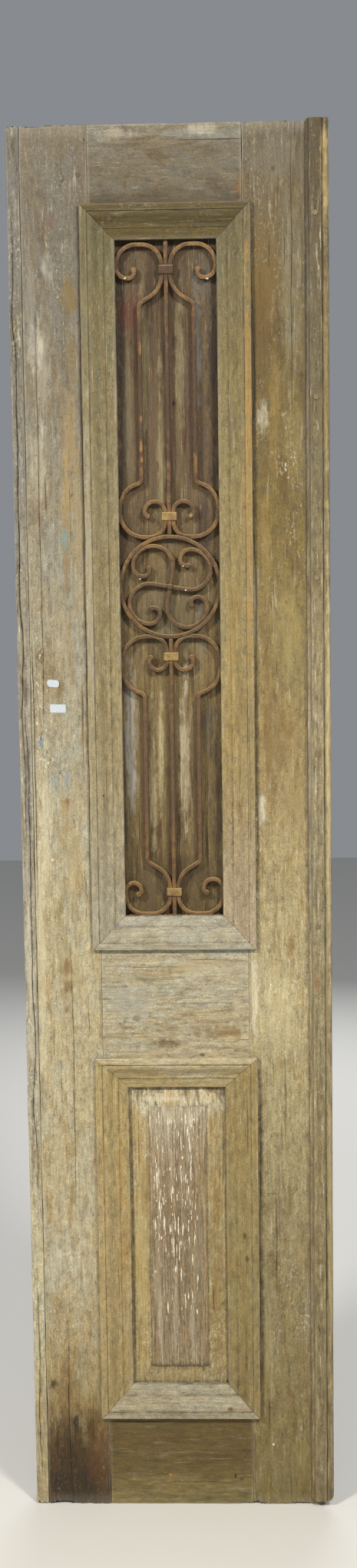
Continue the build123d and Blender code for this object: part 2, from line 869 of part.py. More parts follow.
lug_y = (bar_front_y, bar_front_y + lug_thickness)
curl_side = bar_pitch + curl_span + bar_width / 2
lug_outer = half_daylight - lug_side_play
lug_places = [
    (ring_outer, grille_centre_z),
    (curl_side, grille_centre_z + collar_outer_offset + collar_height / 2),
    (curl_side, grille_centre_z - collar_outer_offset - collar_height / 2),
]
lug_solids = []
lug_screws = []
for lug_inner, z in lug_places:
    for sign in (-1, 1):
        x = sign * (lug_inner + lug_outer) / 2
        across = sorted((sign * (lug_inner + weld_gap), sign * lug_outer))
        tab = block(across, lug_y, (z - lug_height / 2, z + lug_height / 2))
        if lug_inner == ring_outer:
            tab -= rod_y(ring_outer + weld_gap, 0, (lug_y[0] - run_out, lug_y[1] + run_out), grille_centre_z)
        lug_solids.append(tab - screw(x, z, lug_y[1], -1, screw_play))
        lug_screws.append((x, z))


def lug_screw(x, z, play=0.0):
    """Short screw from the lug's back into the moulding."""
    tip = mould_back_y - lug_screw_hold - play
    shank = rod_y(screw_radius + play, x, (tip, lug_y[1]), z)
    if play:
        return shank
    return shank + rod_y(screw_head_radius, x, (lug_y[1], lug_y[1] + small_screw_head_height), z)


parts["grille_lugs"] = group(lug_solids)
parts["lug_screws"] = group(lug_screw(x, z) for x, z in lug_screws)
for x, z in lug_screws:
    member = "grille_mould_left" if x < 0 else "grille_mould_right"
    parts[member] -= lug_screw(x, z, screw_play)

# Shutter: two boards on three ledges

shutter_x = (-half_daylight + shutter_play, half_daylight - shutter_play)
shutter_z = (middle_rail_top + shutter_play, top_rail_bottom - shutter_play)
shutter_y = (back_y - shutter_thickness, back_y)
parts["shutter_board_left"] = block((shutter_x[0], -board_gap / 2), shutter_y, shutter_z)
parts["shutter_board_right"] = block((board_gap / 2, shutter_x[1]), shutter_y, shutter_z)
ledge_x = (shutter_x[0] + ledge_inset, shutter_x[1] - ledge_inset)
ledge_y = (back_y, back_y + ledge_thickness)
shutter_middle = (shutter_z[0] + shutter_z[1]) / 2
ledge_heights = {
    "shutter_ledge_bottom": shutter_z[0] + ledge_end_distance,
    "shutter_ledge_middle": shutter_middle,
    "shutter_ledge_top": shutter_z[1] - ledge_end_distance,
}
shutter_nail_length = shutter_thickness + ledge_thickness - nail_point_cover
shutter_nails = []
for ledge_name, z in ledge_heights.items():
    ledge = block(ledge_x, ledge_y, (z - ledge_width / 2, z + ledge_width / 2))
    ledge = chamfer(ledge.edges().group_by(Axis.Y)[-1], ledge_chamfer)
    for sign in (-1, 1):
        for across in (ledge_x[1] - shutter_nail_inset, shutter_nail_inset):
            place = (sign * across, z + sign * shutter_nail_stagger)
            shutter_nails.append(place)
            ledge -= nail(*place, ledge_y[1], -1, shutter_nail_length, screw_play)
    parts[ledge_name] = ledge
for x, z in shutter_nails:
    board = "shutter_board_left" if x < 0 else "shutter_board_right"
    parts[board] -= nail(x, z, ledge_y[1], -1, shutter_nail_length, screw_play)
parts["shutter_nails"] = group(nail(x, z, ledge_y[1], -1, shutter_nail_length) for x, z in shutter_nails)

# Butt hinges of the shutter, surface fixed on the inside

butt_x = -half_daylight + shutter_play / 2
butt_y = back_y + butt_barrel_radius + seat_gap
knuckle = butt_height / 3


def butt_leaf(low_z, sign, spans):
    """Leaf plate to one side of the pin, with knuckles on the given thirds."""
    near = butt_barrel_radius + 2 * seat_gap
    plate_y = (back_y, back_y + butt_leaf_thickness)
    plate = block(
        sorted((butt_x + sign * near, butt_x + sign * butt_leaf_width)), plate_y, (low_z, low_z + butt_height)
    )
    for third in spans:
        z = (low_z + third * knuckle + knuckle_gap / 2, low_z + (third + 1) * knuckle - knuckle_gap / 2)
        plate += block(sorted((butt_x, butt_x + sign * near)), plate_y, z)
        plate += rod_z(butt_barrel_radius, butt_x, butt_y, z)
    past = (low_z - run_out, low_z + butt_height + run_out)
    return plate - rod_z(butt_pin_radius + running_clearance, butt_x, butt_y, past)


def butt_pin(low_z):
    pin_body = rod_z(butt_pin_radius, butt_x, butt_y, (low_z, low_z + butt_height))
    head_z = (low_z + butt_height, low_z + butt_height + butt_pin_head)
    return pin_body + rod_z(butt_barrel_radius, butt_x, butt_y, head_z)


butts = {
    "lower": shutter_z[0] + butt_end_distance - butt_height / 2,
    "upper": shutter_z[1] - butt_end_distance - butt_height / 2,
}
leaf_screws = []
shutter_screws = []
for butt_name, low_z in butts.items():
    fixed = butt_leaf(low_z, -1, (0, 2))
    moving = butt_leaf(low_z, 1, (1,))
    for z in (low_z + butt_screw_inset, low_z + butt_height - butt_screw_inset):
        across = (butt_barrel_radius + butt_leaf_width) / 2 + seat_gap
        leaf_screws.append((butt_x - across, z, back_y + butt_leaf_thickness))
        shutter_screws.append((butt_x + across, z))
        fixed -= screw(butt_x - across, z, back_y + butt_leaf_thickness, -1, screw_play)
        moving -= screw(butt_x + across, z, back_y + butt_leaf_thickness, -1, screw_play)
    parts["shutter_hinge_fixed_" + butt_name] = fixed
    parts["shutter_hinge_moving_" + butt_name] = moving

parts["shutter_hinge_pins"] = group(butt_pin(low_z) for low_z in butts.values())

shutter_screw_length = shutter_thickness - shutter_screw_cover


def shutter_screw(x, z, play=0.0):
    """Short screw that stays inside the shutter's thickness."""
    face = back_y + butt_leaf_thickness
    shank = rod_y(screw_radius + play, x, (back_y - shutter_screw_length - play, face), z)
    if play:
        return shank
    return shank + rod_y(screw_head_radius, x, (face, face + small_screw_head_height), z)


for x, z in shutter_screws:
    parts["shutter_board_left"] -= shutter_screw(x, z, screw_play)
parts["shutter_hinge_screws"] = group(shutter_screw(x, z) for x, z in shutter_screws)

# Turn buttons on the meeting stile, stored upright, clear of the shutter

button_x = half_daylight + button_from_edge
button_y = (back_y + seat_gap, back_y + seat_gap + button_thickness)


def turn_button(z):
    """Wooden button with rounded ends and chamfered edges."""
    outline = SlotOverall(button_length, button_width)
    body = front_prism(Pos(button_x, z) * Rot(0, 0, 90) * outline, button_y)
    body = chamfer(body.edges().group_by(Axis.Y)[-1], button_chamfer)
    hole_y = (button_y[0] - run_out, button_y[1] + run_out)
    return body - rod_y(button_pivot_radius + running_clearance, button_x, hole_y, z)


def button_pivot(z, play=0.0):
    """Pin driven into the stile, with a round head that keeps the button on."""
    head_y = button_y[1] + seat_gap
    shank = rod_y(button_pivot_radius + play, button_x, (back_y - pivot_depth - play, head_y), z)
    if play:
        return shank
    head = rod_y(pivot_head_radius, button_x, (head_y, head_y + pivot_head_height), z)
    return shank + fillet(head.edges().group_by(Axis.Y)[-1], pivot_head_round)


button_heights = {
    "turn_button_lower": shutter_z[0] + button_end_distance,
    "turn_button_upper": shutter_z[1] - button_end_distance,
}
for button_name, z in button_heights.items():
    parts[button_name] = turn_button(z)
    parts["meeting_stile"] -= button_pivot(z, screw_play)
parts["turn_button_pivots"] = group(button_pivot(z) for z in button_heights.values())

# Lift-off hinge halves: a plate on the back of the hinge stile and a barrel bored right through

barrel_x = hinge_edge + barrel_from_edge
barrel_y = back_y + barrel_radius + seat_gap


def hinge_half(z):
    """Hinge half with its barrel centred on z; returns it with the places of its screws."""
    low, high = z - barrel_length / 2, z + barrel_length / 2
    barrel = rod_z(barrel_radius, barrel_x, barrel_y, (low, high))
    plate_x = (barrel_x, barrel_x + hinge_plate_width)
    plate_z = (z - hinge_plate_height / 2, z + hinge_plate_height / 2)
    plate = block(plate_x, (back_y, back_y + hinge_plate_thickness), plate_z)
    corners = plate.edges().filter_by(Axis.Y).group_by(Axis.X)[-1]
    plate = fillet(corners, hinge_plate_corner)
    half = barrel + plate
    half -= rod_z(barrel_bore_radius, barrel_x, barrel_y, (low - run_out, high + run_out))
    places = [
        (barrel_x + column, z + sign * hinge_screw_rise)
        for column in hinge_screw_columns
        for sign in (-1, 1)
    ]
    face = back_y + hinge_plate_thickness
    for place in places:
        half -= screw(*place, face, -1, screw_play)
    return half, [(*place, face) for place in places]


hinge_heights = {
    "door_hinge_bottom": hinge_end_distance,
    "door_hinge_middle": leaf_height / 2,
    "door_hinge_top": leaf_height - hinge_end_distance,
}
hinge_screws = []
for hinge_name, z in hinge_heights.items():
    parts[hinge_name], places = hinge_half(z)
    hinge_screws += places

# Surface bolts on the back of the meeting stile

bolt_x = meeting_edge - bolt_from_edge
bolt_y = back_y + bolt_stand_off


def bolt_guide(z):
    """Omega strap over the rod, with a screw flange on each side."""
    low, high = z - guide_height / 2, z + guide_height / 2
    inner = bolt_radius + guide_play
    outer = inner + guide_wall
    span = (low, high)
    across = (bolt_x - outer, bolt_x + outer)
    strap = rod_z(outer, bolt_x, bolt_y, span) + block(across, (back_y, bolt_y), span)
    strap &= block(across, (back_y, bolt_y + outer), span)
    reach = outer + guide_flange
    face = back_y + guide_flange_thickness
    strap += block((bolt_x - reach, bolt_x + reach), (back_y, face), span)
    past = (low - run_out, high + run_out)
    strap -= rod_z(inner, bolt_x, bolt_y, past)
    strap -= block((bolt_x - inner, bolt_x + inner), (back_y - run_out, bolt_y), past)
    places = [(bolt_x + sign * (outer + guide_flange / 2), z) for sign in (-1, 1)]
    for place in places:
        strap -= screw(*place, face, -1, screw_play)
    return strap, [(*place, face) for place in places]


def bolt_rod(tip_z, into):
    """Round rod whose knob rests on the last guide; into is 1 where it shoots upwards, -1 downwards."""
    far = tip_z - into * bolt_length
    rod = rod_z(bolt_radius, bolt_x, bolt_y, sorted((tip_z, far)))
    tip_edges = rod.edges().group_by(Axis.Z)[-1 if into > 0 else 0]
    rod = chamfer(tip_edges, bolt_tip_chamfer)
    last_guide = guide_end_inset + guide_spacing * (guide_count - 1)
    knob_z = tip_z - into * (last_guide - guide_height / 2 - knob_neck_radius - seat_gap)
    neck_y = (bolt_y, bolt_y + bolt_radius + knob_neck_length)
    rod += rod_y(knob_neck_radius, bolt_x, neck_y, knob_z)
    return rod + Pos(bolt_x, neck_y[1] + knob_radius - knob_sink, knob_z) * Sphere(knob_radius)


bolts = {"top": (leaf_height - bolt_setback, 1), "bottom": (bolt_setback, -1)}
guide_screws = []
for bolt_name, (tip_z, into) in bolts.items():
    guides = []
    for index in range(guide_count):
        z = tip_z - into * (guide_end_inset + guide_spacing * index)
        guide, places = bolt_guide(z)
        guides.append(guide)
        guide_screws += places
    parts[bolt_name + "_bolt_guides"] = group(guides)
    parts[bolt_name + "_bolt_rod"] = bolt_rod(tip_z, into)

# Screws of the hardware and their holes in the wood behind

hardware_screws = leaf_screws + hinge_screws + guide_screws
parts["hardware_screws"] = group(screw(x, z, face, -1) for x, z, face in hardware_screws)
for x, z, face in hardware_screws:
    parts["hinge_stile" if x < 0 else "meeting_stile"] -= screw(x, z, face, -1, screw_play)

os.makedirs("parts", exist_ok=True)
for name, shape in parts.items():
    export_step(shape, os.path.join("parts", name + ".step"))
print(len(parts), "nodes")
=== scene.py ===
"""Dresses one stripped French door leaf, with its forged grille and inner shutter.

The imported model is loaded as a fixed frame. One operator makes each piece or group of like
pieces and its finish, and one sets the stage. Lengths are in metres and +Z is up.
"""
import math
import random
from contextlib import contextmanager

import bpy
import numpy as np
from bpy.props import FloatProperty, FloatVectorProperty, IntProperty, PointerProperty
from mathutils import Matrix, Vector, noise


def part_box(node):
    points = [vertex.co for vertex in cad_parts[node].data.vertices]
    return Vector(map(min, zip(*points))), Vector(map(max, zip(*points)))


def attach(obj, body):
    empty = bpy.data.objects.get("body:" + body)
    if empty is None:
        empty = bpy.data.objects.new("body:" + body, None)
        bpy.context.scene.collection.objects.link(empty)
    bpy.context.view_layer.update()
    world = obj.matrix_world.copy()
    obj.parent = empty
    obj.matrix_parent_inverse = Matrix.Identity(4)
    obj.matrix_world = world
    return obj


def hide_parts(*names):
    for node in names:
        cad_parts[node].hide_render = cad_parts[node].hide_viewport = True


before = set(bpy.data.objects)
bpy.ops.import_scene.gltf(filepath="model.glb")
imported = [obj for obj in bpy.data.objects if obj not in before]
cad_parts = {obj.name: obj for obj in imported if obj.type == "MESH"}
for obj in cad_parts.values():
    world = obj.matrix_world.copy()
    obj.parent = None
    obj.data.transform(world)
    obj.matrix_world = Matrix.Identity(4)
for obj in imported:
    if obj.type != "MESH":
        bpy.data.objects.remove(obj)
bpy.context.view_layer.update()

bl_info = {
    "name": "Stripped French Door Leaf",
    "version": (1, 0, 0),
    "blender": (4, 5, 0),
    "location": "View3D > Sidebar > Door Leaf",
    "description": "Builds a weathered door leaf with a forged grille round its packed model",
    "category": "Object",
}

MM = 0.001
LEAF_TOP = 2352 * MM
# Where each visible front lies along Y, in millimetres
LEAF_FRONT, LEAF_BACK = -22, 22
STRIP_FRONT, MOULDING_FRONT, BEVEL_FRONT, FIELD_FRONT, BOARD_FRONT = -32, -28, -9, -13, 8
FRONT_Y = LEAF_FRONT * MM
LEAF_DEPTH = (LEAF_FRONT, LEAF_BACK)
# What lies in front of the first place along Y is open to view on the panel, of the second on its field
PANEL_OPEN, PANEL_FIELD = -3.9 * MM, -11.4 * MM
# Ends along X of the rails and of the shutter's boards, and the left edge of the cover strip
RAIL_ENDS = (-124.8, 124.8)
BOARD_SIDES = {"left": (-122.9, -0.2), "right": (0.2, 122.9)}
STRIP_LEFT = 228
# Heights of the panel's middle and of the sill of the opening
PANEL_MIDDLE, SILL = 483, 1050.1
# Half the width of a crack, the room kept free beside it, and the open line at a mitre
HALF_CRACK, CRACK_ROOM, MITRE_GAP = 0.45 * MM, 1.6 * MM, 0.35 * MM
# How torn the edge of a large spot and of a small one is, and how far spots reach along Y
RAGGED, CLEAN = 2.4, 0.9
WOOD_SPOT_DEPTH, IRON_SPOT_DEPTH = 20, 60
# Tints of the dark and the light places of the wood, broad and fine
MOTTLE_DARK, MOTTLE_LIGHT = (0.5, 0.46, 0.4, 1), (1.45, 1.44, 1.42, 1)
GRAIN_DARK, GRAIN_LIGHT = (0.5, 0.47, 0.42, 1), (1.5, 1.48, 1.42, 1)
# Outer edges of the mouldings round each window (x, x, z, z) in millimetres, and cuts of the upright ones
WINDOWS = {"grille": ((-139, 139, 994, 2225), 150), "panel": ((-139, 139, 160, 806), 90)}
# A spot whose two reaches add up to less than this, in millimetres, keeps a clean edge
SMALL_SPOT = 16
EFFECTS = {}
# Stains and marks of each finish, with some painted shadows and painted highlights: (x, z, reach across,
# reach up, colour, strength), in millimetres
SPOTS = {
    "hinge_stile_wood": (
        (-180, 40, 70, 66, "261b09", 0.95), (-194, 110, 50, 80, "322308", 0.9),
        (-146, 80, 24, 80, "543816", 0.8), (-199, 205, 28, 60, "6b5330", 0.65),
        (-221, 220, 7, 14, "352817", 0.85), (-184, 150, 6, 14, "241a0f", 0.85),
        (-185, 966, 7, 20, "574122", 0.9), (-184, 928, 9, 13, "49371d", 0.9),
        (-186, 950, 12, 60, "86704a", 0.6), (-184, 890, 8, 9, "6a5636", 0.8),
        (-231, 741, 10, 42, "5f5038", 0.75), (-184, 1440, 9, 22, "6b5330", 0.8),
        (-178, 1245, 4, 14, "6d4d2a", 0.8), (-184, 1200, 8, 70, "8b7648", 0.6),
        (-205, 1149, 9, 9, "84704c", 0.75), (-205, 1149, 3, 3, "cfc5a4", 0.8),
        (-215, 1733, 6, 34, "6c4f3a", 0.7), (-217, 1494, 10, 16, "5a4a30", 0.8),
        (-172, 1640, 8, 70, "6b5632", 0.7), (-168, 1500, 7, 90, "80693c", 0.55),
        (-158, 2080, 15, 44, "63501f", 0.85), (-156, 1985, 12, 60, "66552b", 0.75),
        (-185, 2200, 7, 20, "563f38", 0.9), (-202, 2244, 13, 9, "443e35", 0.85),
        (-192, 2126, 12, 30, "8a887e", 0.6), (-206, 1960, 16, 110, "8d8676", 0.55),
        (-160, 1864, 15, 90, "87734a", 0.6), (-172, 1926, 8, 30, "665636", 0.75),
        (-167, 1764, 13, 80, "8f7744", 0.6), (-171, 1689, 8, 52, "755d34", 0.7),
        (-201, 1844, 9, 18, "6d665a", 0.6), (-216, 2001, 18, 50, "a5a193", 0.5),
        (-214, 1815, 20, 80, "a8a28c", 0.45), (-204, 2170, 6, 8, "45413b", 0.75),
        (-205, 2114, 6, 8, "45413b", 0.75), (-188, 2129, 5, 14, "504c46", 0.7),
        (-161, 2221, 5, 8, "544e42", 0.7), (-215, 1200, 12, 150, "bdb394", 0.5),
        (-169, 1134, 12, 130, "93815a", 0.5), (-167, 975, 6, 80, "8b7a52", 0.5),
        (-178, 2040, 8, 60, "56524a", 0.6), (-222, 2080, 10, 90, "77746c", 0.5),
        (-166, 2267, 5.5, 8, "221d16", 0.95), (-140, 2271, 5, 7, "3f3e35", 0.85),
        (-127, 2060, 6, 170, "57534a", 0.6), (-150, 1700, 12, 160, "8a764a", 0.5),
        (-173, 1686, 6, 32, "617c7a", 0.85), (-226, 1000, 10, 320, "c6bfa2", 0.4),
        (-220, 1349, 5, 15, "5b7080", 0.9), (-177, 1283, 4, 24, "6d7b84", 0.85),
        # (-142, 1900) is painted shade in the gap beside the grille's moulding.
        (-200, 1282, 5, 10, "78868e", 0.75), (-142, 1900, 5, 330, "54493a", 0.5),
        (-127, 900, 4, 110, "5f5038", 0.5), (-127, 90, 4, 90, "5b3a1c", 0.7),
        (-127, 2280, 3, 80, "5a4526", 0.6),
    ),
    "meeting_stile_wood": (
        (160, 2110, 30, 130, "5b471f", 0.9), (150, 2000, 26, 110, "4f3b17", 0.9),
        (205, 2080, 22, 180, "6f6a55", 0.6), (175, 2290, 50, 40, "625b4b", 0.5),
        (157, 1880, 12, 32, "a29c88", 0.7), (210, 1850, 24, 90, "7a6d48", 0.5),
        (175, 1900, 10, 120, "7d6633", 0.55), (161, 1370, 9, 140, "6a5027", 0.8),
        (180, 1350, 44, 62, "6f5a33", 0.7), (149, 1232, 9, 34, "bcb6a2", 0.75),
        (205, 1250, 26, 80, "8c7c52", 0.5), (200, 1540, 26, 100, "8d8050", 0.5),
        (140, 1560, 9, 90, "9d927a", 0.6), (198, 986, 8, 56, "765a32", 0.6),
        (135, 930, 8, 120, "c9c3ad", 0.6), (175, 900, 34, 90, "b7a980", 0.5),
        (130, 2250, 8, 20, "5b4220", 0.7), (176, 2276, 4, 6, "36342c", 0.9), (211, 59, 4, 4, "7d5426", 0.8),
        (161, 110, 2.5, 2.5, "f0ead8", 0.9), (201, 167, 9, 2, "5d5033", 0.7),
        (174, 88, 3, 70, "675b36", 0.6), (180, 45, 12, 16, "5f5a3c", 0.55), (175, 24, 6, 5, "4a4228", 0.6),
        (129, 80, 3, 70, "5b4a26", 0.7), (224, 361, 7, 78, "9b9a8a", 0.5),
        (154, 278, 16, 100, "a3966e", 0.45), (209, 95, 18, 40, "8f8253", 0.5),
        (180, 60, 70, 60, "776a42", 0.4), (160, 1690, 12, 90, "86703c", 0.5),
        # The next four spots, at x = 142 and 143, are painted shade in the gaps beside the two mouldings.
        (142, 1900, 6, 320, "35291a", 0.7), (142, 1300, 6, 320, "4a3a24", 0.5),
        (143, 640, 6, 170, "2f2214", 0.7), (143, 330, 6, 170, "2f2214", 0.7),
        (174, 541, 2, 140, "5b4a30", 0.6), (160, 564, 18, 2, "5b4a30", 0.6),
        (160, 453, 18, 2, "5b4a30", 0.6), (127, 900, 4, 110, "5f5038", 0.5),
        (127, 90, 4, 90, "5b4426", 0.5), (127, 2280, 3, 80, "453a28", 0.6),
        # The last three spots, at x = 225 and 226, are painted shade in the gap beside the cover strip.
        (225, 2000, 4, 420, "4c463c", 0.7), (225, 1250, 4, 500, "514837", 0.7),
        (226, 500, 5, 420, "5b4c34", 0.6),
    ),
    "top_rail_wood": (
        (122, 2246, 10, 22, "62441f", 0.8), (-64, 2254, 4, 8, "4b381f", 0.85),
        (-95, 2234, 26, 14, "383126", 0.7), (110, 2232, 24, 9, "352d20", 0.75),
        (7, 2229, 120, 7, "453b2b", 0.7), (-20, 2322, 120, 4, "6b624f", 0.4),
        (60, 2338, 30, 12, "a79f8e", 0.5), (-80, 2336, 30, 10, "9b9280", 0.5),
    ),
    "middle_rail_wood": (
        (-67, 874, 10, 6, "4f4028", 0.85), (-86, 930, 8, 4, "5b4a32", 0.8),
        (-17, 831, 36, 11, "5f4826", 0.85), (76, 849, 62, 14, "755a2f", 0.85),
        (-80, 905, 48, 36, "8b897c", 0.65), (30, 960, 80, 20, "b4a98c", 0.4),
        (41, 900, 80, 2, "54452f", 0.6), (45, 810, 6, 4, "4d3c26", 0.8), (0, 1000, 125, 4, "55472f", 0.5),
    ),
    "bottom_rail_wood": (
        (-20, 54, 4, 3, "b06a28", 0.9), (100, 100, 26, 50, "55431f", 0.5), (112, 99, 16, 4, "3a2c14", 0.7),
        (94, 52, 3, 6, "2c2010", 0.85), (105, 46, 5, 3, "33260f", 0.7), (-50, 108, 40, 6, "4d3c1c", 0.5),
    ),
    "lipping_wood": (
        (-244, 1435, 6, 30, "4a4035", 0.7), (-243, 1290, 4, 120, "56504a", 0.7),
        (-246, 1230, 5, 60, "6c6a6a", 0.6), (-247, 1100, 6, 30, "5b5348", 0.7),
        (-249, 640, 4, 60, "5d4a30", 0.6), (-247, 950, 8, 260, "c4bda6", 0.35),
        (-238, 1900, 3, 300, "55503f", 0.6),
    ),
    "cover_strip_wood": (
        (239, 940, 5, 30, "7b5a3e", 0.75), (239, 905, 4, 7, "8d8a52", 0.6),
        # The pale bands at x = 261 and 262 are a painted highlight along the crest of the bead, and the grey
        # bands at x = 231 painted shade on the cove, with some grime.
        (261, 2260, 11, 120, "96835a", 0.8), (261, 1950, 9, 260, "7e6e48", 0.7),
        (262, 1300, 5, 500, "b5a478", 0.7), (262, 500, 5, 420, "a99668", 0.6),
        (231, 1900, 3, 400, "6f6a62", 0.7), (231, 1250, 3, 400, "8a8278", 0.7),
        (243, 2230, 3, 60, "3f3729", 0.7), (246, 2000, 3, 140, "4f4736", 0.6),
        (250, 1180, 3, 22, "5d5038", 0.7), (240, 2080, 3, 160, "5d5546", 0.6),
    ),
    "grille_mould_left_wood": (
        (-116, 1258, 2, 3, "1f170e", 0.95), (-99, 1154, 2, 3, "1f170e", 0.95),
        (-97, 1408, 2, 3, "1f170e", 0.95), (-132, 1620, 7, 330, "938d7b", 0.65),
        (-92, 1500, 8, 300, "8a7a48", 0.3),
    ),
    "grille_mould_right_wood": (
        (132, 1800, 7, 420, "8f6d2e", 0.7), (100, 1500, 14, 220, "9c7f3c", 0.4),
    ),
    "grille_mould_top_wood": (
        # The top length is darkened: dirt, and painted shade on its face that looks down.
        (0, 2195, 140, 30, "4c4528", 0.35),
    ),
    "panel_mould_left_wood": (
        (-98, 500, 9, 290, "a67c35", 0.55),
    ),
    "panel_mould_right_wood": (
        (114, 489, 5, 9, "4f3a1f", 0.85), (118, 449, 5, 9, "4f3a1f", 0.8),
    ),
    "panel_mould_top_wood": (
        (0, 758, 90, 7, "8a6630", 0.6),
    ),
    "panel_mould_bottom_wood": (
        (86, 177, 7, 5, "5a4426", 0.85), (0, 168, 120, 4, "7b6a48", 0.4),
    ),
    "fielded_panel_wood": (
        (-66, 480, 14, 260, "a8925c", 0.5), (66, 430, 16, 270, "765f33", 0.75),
        # (-79, 480) is painted shade in the gap beside the moulding, and (-30, 729) a painted highlight on
        # the bevel above the field.
        (0, 232, 70, 9, "9c8a5e", 0.4), (-79, 480, 3, 270, "3f3220", 0.6), (-30, 729, 44, 6, "c4baa0", 0.5),
    ),
    "panel_field_wood": (
        (-20, 520, 12, 170, "735c43", 0.7), (14, 480, 9, 200, "6a5843", 0.65),
        (34, 430, 7, 160, "6b6458", 0.5), (-38, 400, 7, 130, "a09078", 0.5),
        (0, 700, 44, 18, "b8ab8c", 0.6), (-2, 560, 5, 150, "654c36", 0.7), (26, 560, 4, 120, "6c533b", 0.7),
        (-34, 330, 5, 90, "b0a48c", 0.6), (-8, 330, 4, 90, "a8a08e", 0.6), (22, 320, 5, 80, "a39c8c", 0.6),
    ),
    "shutter_board_wood": (
        # Painted shadows cast by the moulding and the grille: the dark strips at x = -84 to -77 and 74 to 77
        # down the sides of the opening, the band at z = 2185 under its top and the band at z = 1105 over its
        # sill. The other spots are stains.
        (-77, 2000, 13, 210, "24170e", 0.9), (-62, 2056, 26, 42, "4b2416", 0.9),
        (-80, 1700, 8, 240, "281b12", 0.85), (-66, 1890, 10, 150, "5e5741", 0.75),
        (-52, 1800, 6, 200, "4b3626", 0.7), (-40, 1960, 8, 170, "746c4a", 0.75),
        (-27, 2094, 9, 64, "2c1e12", 0.85), (-26, 1880, 7, 160, "45362a", 0.6),
        (-12, 1800, 8, 190, "7d7350", 0.7), (6, 1880, 6, 200, "564134", 0.65),
        (20, 1963, 10, 140, "78704f", 0.6), (33, 1900, 7, 200, "46342b", 0.7),
        (50, 2000, 9, 140, "716f68", 0.7), (60, 1800, 9, 140, "43352a", 0.65),
        (77, 1925, 14, 220, "1f140c", 0.9), (60, 2110, 18, 40, "55534e", 0.6),
        (10, 1907, 4, 7, "211a12", 0.9), (-26, 2026, 5, 14, "2b2014", 0.9),
        (-60, 1690, 20, 60, "34271a", 0.6), (58, 1690, 20, 70, "2c2118", 0.7),
        (-71, 1352, 13, 150, "918f86", 0.75), (-52, 1300, 7, 170, "5d4a30", 0.7),
        (-34, 1260, 8, 170, "9f9370", 0.7), (-20, 1330, 7, 120, "aba07c", 0.65),
        (-8, 1240, 8, 130, "4a381f", 0.75), (20, 1312, 11, 140, "a59b80", 0.7),
        (38, 1260, 8, 160, "57452f", 0.7), (62, 1370, 15, 60, "423a32", 0.75),
        (74, 1250, 13, 200, "36281a", 0.85), (-84, 1250, 6, 280, "34261a", 0.8),
        (-6, 1105, 80, 60, "362817", 0.75), (-40, 1120, 12, 60, "5d4e34", 0.5),
        (23, 1463, 6, 15, "a8a394", 0.8), (24, 1435, 3, 22, "9b9686", 0.6),
        (0, 2185, 90, 24, "1c140d", 0.8), (0, 1560, 80, 90, "56513c", 0.5),
        (50, 1530, 9, 60, "6a675e", 0.5),
    ),
    "rusty_grille_iron": (
        (0, 1925, 200, 190, "362414", 0.85), (0, 1290, 200, 190, "503c29", 0.75),
        (0, 2123, 44, 34, "36220c", 0.9), (-44, 1882, 3, 8, "9c7038", 0.6),
        (-45, 1837, 3, 11, "9c7038", 0.6), (-44, 1816, 3, 6, "966c38", 0.6),
        (41, 1822, 3, 7, "966c38", 0.6), (-44, 1998, 3, 14, "8c6434", 0.5),
        (0, 1573, 110, 110, "3c2c18", 0.7),
    ),
}


def shade(code):
    """A linear colour from a six-digit screen code."""
    parts = [int(code[i:i + 2], 16) / 255 for i in (0, 2, 4)]
    linear = [p / 12.92 if p <= 0.04045 else ((p + 0.055) / 1.055) ** 2.4 for p in parts]
    return (*linear, 1.0)


